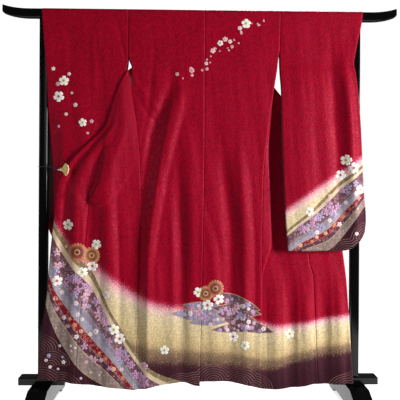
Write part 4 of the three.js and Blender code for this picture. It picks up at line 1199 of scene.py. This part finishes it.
# ---------------------------------------------------------------- the stand
POST = dict(x=680, width=38, edge=1, round=7)
BOARD = dict(length=200, depth=60, low=107, high=139, edge=3, round=5)
FOOT = dict(width=84, length=540, top=106.6, toe=44, arch=22, pad=80, edge=3)
JOINT = 0.3


def curve(a, handle, b, count=14):
    """A quadratic curve from a to b, without its last point."""
    t = np.linspace(0, 1, count, endpoint=False)[:, None]
    a, handle, b = (np.array(p, float) for p in (a, handle, b))
    return (1 - t) ** 2 * a + 2 * t * (1 - t) * handle + t * t * b


def rounded(width, height, radius):
    """A rectangle with round corners, counter-clockwise."""
    turn = np.linspace(0, math.pi / 2, 6)
    corners = []
    for quarter, (x, y) in enumerate(((1, -1), (1, 1), (-1, 1), (-1, -1))):
        angle = turn + (quarter - 1) * math.pi / 2
        corners.append(np.stack([x * (width / 2 - radius) + radius * np.cos(angle),
                                 y * (height / 2 - radius) + radius * np.sin(angle)], axis=-1))
    return np.concatenate(corners)


def lacquered(name, outline, low, high, edge, axes):
    """A plate of an outline between two levels, its edges rounded. `axes` says which way the outline's two
    directions and the plate's thickness run."""
    n = len(outline)
    points = np.zeros((2, n, 3))
    points[..., axes[0]], points[..., axes[1]] = outline[:, 0], outline[:, 1]
    points[0, :, axes[2]], points[1, :, axes[2]] = low, high
    ring = np.arange(n)
    sides = np.stack([ring, (ring + 1) % n, (ring + 1) % n + n, ring + n], axis=-1).tolist()
    faces = [ring[::-1].tolist(), (ring + n).tolist(), *sides]
    turned = outline[:, 0] @ np.roll(outline[:, 1], -1) - outline[:, 1] @ np.roll(outline[:, 0], -1) < 0
    if turned != (axes == (0, 2, 1)):
        faces = [face[::-1] for face in faces]
    made = finish_mesh(name + "_lacquer", points, faces, [LACQUER])
    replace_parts(made, name)
    rim = made.modifiers.new("rounded", "BEVEL")
    rim.width, rim.segments, rim.limit_method, rim.angle_limit = edge * MM, 4, "ANGLE", math.radians(32)
    rim.harden_normals = True


half_bar, straight = BAR["length"] / 2, BAR["straight"] / 2
bar_low, bar_top, tip = BAR["top"] - BAR["height"], BAR["top"], BAR["top"] + BAR["rise"]
knee = mix(straight, half_bar, 0.6)
right_tip = np.concatenate([
    curve((straight, bar_low), (knee, bar_low), (half_bar, tip - BAR["tip"])),
    [(half_bar, tip - BAR["tip"])],
    curve((half_bar, tip), (knee, bar_top), (straight, bar_top)),
    [(straight, bar_top)],
])
bar = np.concatenate([right_tip, right_tip[::-1] * [-1, 1]])
lacquered("top_bar", bar, -BAR["depth"] / 2, BAR["depth"] / 2, BAR["round"] - 1, (0, 2, 1))

half, toe, arch = FOOT["length"] / 2, FOOT["toe"], FOOT["arch"]
pad_in = half - FOOT["pad"]
front_toe = np.concatenate([
    curve((0, arch), (pad_in - 90, arch), (pad_in - 60, arch), 3),
    curve((pad_in - 60, arch), (pad_in - 16, arch), (pad_in, 0)),
    [(pad_in, 0)],
    curve((half - 8, 0), (half + 1, toe * 0.4), (half - 6, toe)),
    curve((half - 6, toe), (half - 90, toe + 14), (90, FOOT["top"]), 20),
    [(90, FOOT["top"])],
])
foot = np.concatenate([front_toe, (front_toe[::-1] * [-1, 1])[:-1]])
for side, x in (("left", -POST["x"]), ("right", POST["x"])):
    lacquered(side + "_foot", foot, x - FOOT["width"] / 2, x + FOOT["width"] / 2, FOOT["edge"], (1, 2, 0))
    board = rounded(BOARD["length"], BOARD["depth"], BOARD["round"]) + [x, 0]
    lacquered(side + "_board", board, BOARD["low"], BOARD["high"], BOARD["edge"], (0, 1, 2))
    post = rounded(POST["width"], POST["width"], POST["round"]) + [x, 0]
    lacquered(side + "_post", post, BOARD["high"] + JOINT, bar_low - JOINT, POST["edge"], (0, 1, 2))

# ---------------------------------------------------------------- the clip and its cord
CLIP = dict(x=-595, y=-51, z=1037, radius=34, spread=0.95, root=6, ball=5)
JAW = dict(reach=24, gap=9, thick=1.6, height=12)
CORD = dict(thick=2.4, turn=22)
RIBS, PLEAT, RIM = 13, 0.75, 0.25
PLATE = 1.2
BALL_RINGS, BALL_SPOKES = 19, 32
CORD_SPOKES = 16
PLY_TWIST = 5.5  # length of one turn of the plies


def ends(n, m):
    """The two polygons that close an n by m tube."""
    return [list(range(m)), [(n - 1) * m + j for j in range(m - 1, -1, -1)]]


def gilded(name, points, thick):
    """A bent plate of gilt brass on a grid of points."""
    made = finish_mesh(name + "_gilt", points, grid_faces(*points.shape[:2]), [GILT])
    plate = made.modifiers.new("plate", "SOLIDIFY")
    plate.thickness, plate.offset = thick * MM, 0
    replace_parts(made, name)


angle = np.linspace(-CLIP["spread"], CLIP["spread"], RIBS * 8 + 1)[:, None]
share = np.linspace(0, 1, 15)[None, :]
fan_radius = mix(CLIP["root"], CLIP["radius"], share) * np.ones_like(angle)
pleat = np.abs((angle / CLIP["spread"] * RIBS / 2 + 0.5) % 1 - 0.5) * 2
gilded("clip_fan", np.stack([
    CLIP["x"] + fan_radius * np.cos(angle),
    CLIP["y"] - 0.9 - PLEAT * pleat * share ** 0.5 - RIM * bump(share - 0.8, 0.05),
    CLIP["z"] + fan_radius * np.sin(angle),
], axis=-1), PLATE)

jaw_radius = (JAW["gap"] + JAW["thick"]) / 2
bend = np.linspace(math.pi / 2, 3 * math.pi / 2, 17)
jaw_path = np.concatenate([
    [(JAW["reach"], jaw_radius)],
    np.stack([np.cos(bend), np.sin(bend)], -1) * jaw_radius,
    [(JAW["reach"], -jaw_radius)],
])
jaw_y = CLIP["y"] + JAW["gap"] / 2 + JAW["thick"] + 0.9
tall = np.linspace(-JAW["height"] / 2, JAW["height"] / 2, 5)[None, :]
gilded("clip_jaw", np.stack(np.broadcast_arrays(
    CLIP["x"] + jaw_path[:, 0, None], jaw_y + jaw_path[:, 1, None], CLIP["z"] + tall,
), axis=-1), JAW["thick"])

ball_x = CLIP["x"] - JAW["gap"] / 2 - JAW["thick"] - CLIP["ball"] - JOINT
lat = np.linspace(0.04, math.pi - 0.04, BALL_RINGS)[:, None]
lon = np.linspace(0, 2 * math.pi, BALL_SPOKES, endpoint=False)[None, :]
ball_points = np.array([ball_x, jaw_y, CLIP["z"]]) + CLIP["ball"] * np.stack(
    np.broadcast_arrays(np.sin(lat) * np.cos(lon), np.sin(lat) * np.sin(lon), np.cos(lat)), axis=-1)
ball_faces = grid_faces(BALL_RINGS, BALL_SPOKES, wrap=True).tolist() + ends(BALL_RINGS, BALL_SPOKES)
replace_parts(finish_mesh("clip_ball_silver", ball_points, ball_faces, [SILVER]), "clip_ball")

round_post = POST["width"] / 2 + CORD["thick"] / 2 + JOINT * 3
corner = round_post - POST["round"] * 0.25
px, z0 = -POST["x"], CLIP["z"]
ROUTE = np.array([
    (ball_x - CLIP["ball"] - JOINT, jaw_y, z0 - 1.6), (ball_x - 22, jaw_y + 5, z0 + 1),
    (px + CORD["turn"] + 8, -round_post - 3, z0 + 10), (px + 12, -round_post, z0 + 12),
    (px - 13, -round_post, z0 + 12), (px - corner, -corner, z0 + 12.3), (px - round_post, -13, z0 + 12.6),
    (px - round_post, 13, z0 + 12.8), (px - corner, corner, z0 + 13), (px - 13, round_post, z0 + 13.2),
    (px + 13, round_post, z0 + 13.4), (px + corner, corner, z0 + 13.6), (px + round_post, 13, z0 + 13.8),
    (px + round_post, -13, z0 + 14), (px + CORD["turn"] + 8, -round_post - 8, z0 + 14),
    (ball_x - 24, jaw_y + 6, z0 + 9), (ball_x - CLIP["ball"] - JOINT, jaw_y, z0 + 1.6),
])


def through(points, count):
    """A centripetal Catmull-Rom curve through points: each knot step is the square root of the distance."""
    first, last = 2 * points[0] - points[1], 2 * points[-1] - points[-2]
    p = np.concatenate([[first], points, [last]])
    knot = np.concatenate([[0], np.cumsum(np.sqrt(np.linalg.norm(np.diff(p, axis=0), axis=1)))])
    t = np.linspace(knot[1], knot[-2], count)
    i = np.clip(np.searchsorted(knot, t, side="right") - 2, 0, len(points) - 2)

    def blend(a, b, ka, kb):
        return ((kb - t)[:, None] * a + (t - ka)[:, None] * b) / (kb - ka)[:, None]

    k = [knot[i + j] for j in range(4)]
    a1, a2, a3 = (blend(p[i + j], p[i + j + 1], k[j], k[j + 1]) for j in range(3))
    b1, b2 = blend(a1, a2, k[0], k[2]), blend(a2, a3, k[1], k[3])
    return blend(b1, b2, k[1], k[2])


line = through(ROUTE, 420)
forward = np.gradient(line, axis=0)
forward /= np.linalg.norm(forward, axis=1, keepdims=True)
sideways = np.cross(forward, [0, 0, 1.0])
sideways /= np.linalg.norm(sideways, axis=1, keepdims=True)
upward = np.cross(sideways, forward)
run = lengths(line)
angle = np.linspace(0, 2 * math.pi, CORD_SPOKES, endpoint=False)[None, :]
lay = angle - run[:, None] * 2 * math.pi / PLY_TWIST
cord_radius = CORD["thick"] / 2 * (0.8 + 0.2 * np.abs(np.cos(lay)))
tube = (line[:, None] + (cord_radius * np.cos(angle))[..., None] * sideways[:, None]
        + (cord_radius * np.sin(angle))[..., None] * upward[:, None])
tube_faces = grid_faces(len(line), CORD_SPOKES, wrap=True, flip=True).tolist() + ends(len(line), CORD_SPOKES)
cord = finish_mesh("clip_cord_silk", tube, tube_faces, [CORD_SILK])
add_colors(cord.data, "dye", np.where(np.cos(lay)[..., None] > 0, srgb("#151638"), srgb("#241A40")))
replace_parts(cord, "clip_cord")

# ---------------------------------------------------------------- lights and floor
WHITE = (1, 1, 1, 1)
FLOOR_RADIUS, FLOOR_SIDES = 1.7, 96  # in metres


def white_studio(node):
    """White to the eye, and dim as a light."""
    return node("Background", (WHITE, node("MapRange", {0: node("LightPath"), 3: 0.06, 4: 1.05})))


def pale_paint(node):
    """Pale painted floor: white to the eye and in reflections, and dim in the light that it throws on the
    cloth."""
    bounce = node("LightPath", out=2)
    glow = node("MapRange", {0: bounce, 3: 0.72, 4: 0.1})
    pale = node("Mix", {0: bounce, 6: (0.93, 0.93, 0.93, 1), 7: (0.16, 0.16, 0.16, 1)}, **COLORS)
    return node("BsdfPrincipled", {
        "Base Color": pale, "Roughness": 0.6, "Emission Color": WHITE, "Emission Strength": glow,
    })


bpy.context.scene.world = shaded(bpy.data.worlds.new("studio"), "OutputWorld", white_studio)
bpy.context.scene.view_settings.view_transform = "Standard"

LIGHTS = (
    ("key", (3.3, -1.8, 1.2), (0, 0, 0.7), 1.3, 194),
    ("side", (-3.2, -1.7, 1.6), (-0.1, 0, 0.9), 0.8, 18),
    ("fill", (-0.3, -3.6, 2.0), (0, 0, 0.9), 1.8, 12),
    ("back", (0.6, 1.9, 3.3), (0, 0, 0.9), 1.2, 70),
)
for name, at, to, size, power in LIGHTS:
    lamp = bpy.data.lights.new(name, "AREA")
    lamp.shape, lamp.size, lamp.energy = "SQUARE", size, power
    obj = bpy.data.objects.new(name, lamp)
    obj.location = at
    obj.rotation_euler = (Vector(to) - Vector(at)).to_track_quat("-Z", "Y").to_euler()
    bpy.context.collection.objects.link(obj)

floor_mesh = bpy.data.meshes.new("floor")
turn = np.linspace(0, 2 * math.pi, FLOOR_SIDES, endpoint=False)
edge = np.stack([FLOOR_RADIUS * np.cos(turn), FLOOR_RADIUS * np.sin(turn), 0 * turn], axis=-1)
floor_mesh.from_pydata(edge, [], [list(range(FLOOR_SIDES))])
floor_mesh.materials.append(material("pale painted floor", pale_paint))
floor = bpy.data.objects.new("floor", floor_mesh)
bpy.context.collection.objects.link(floor)
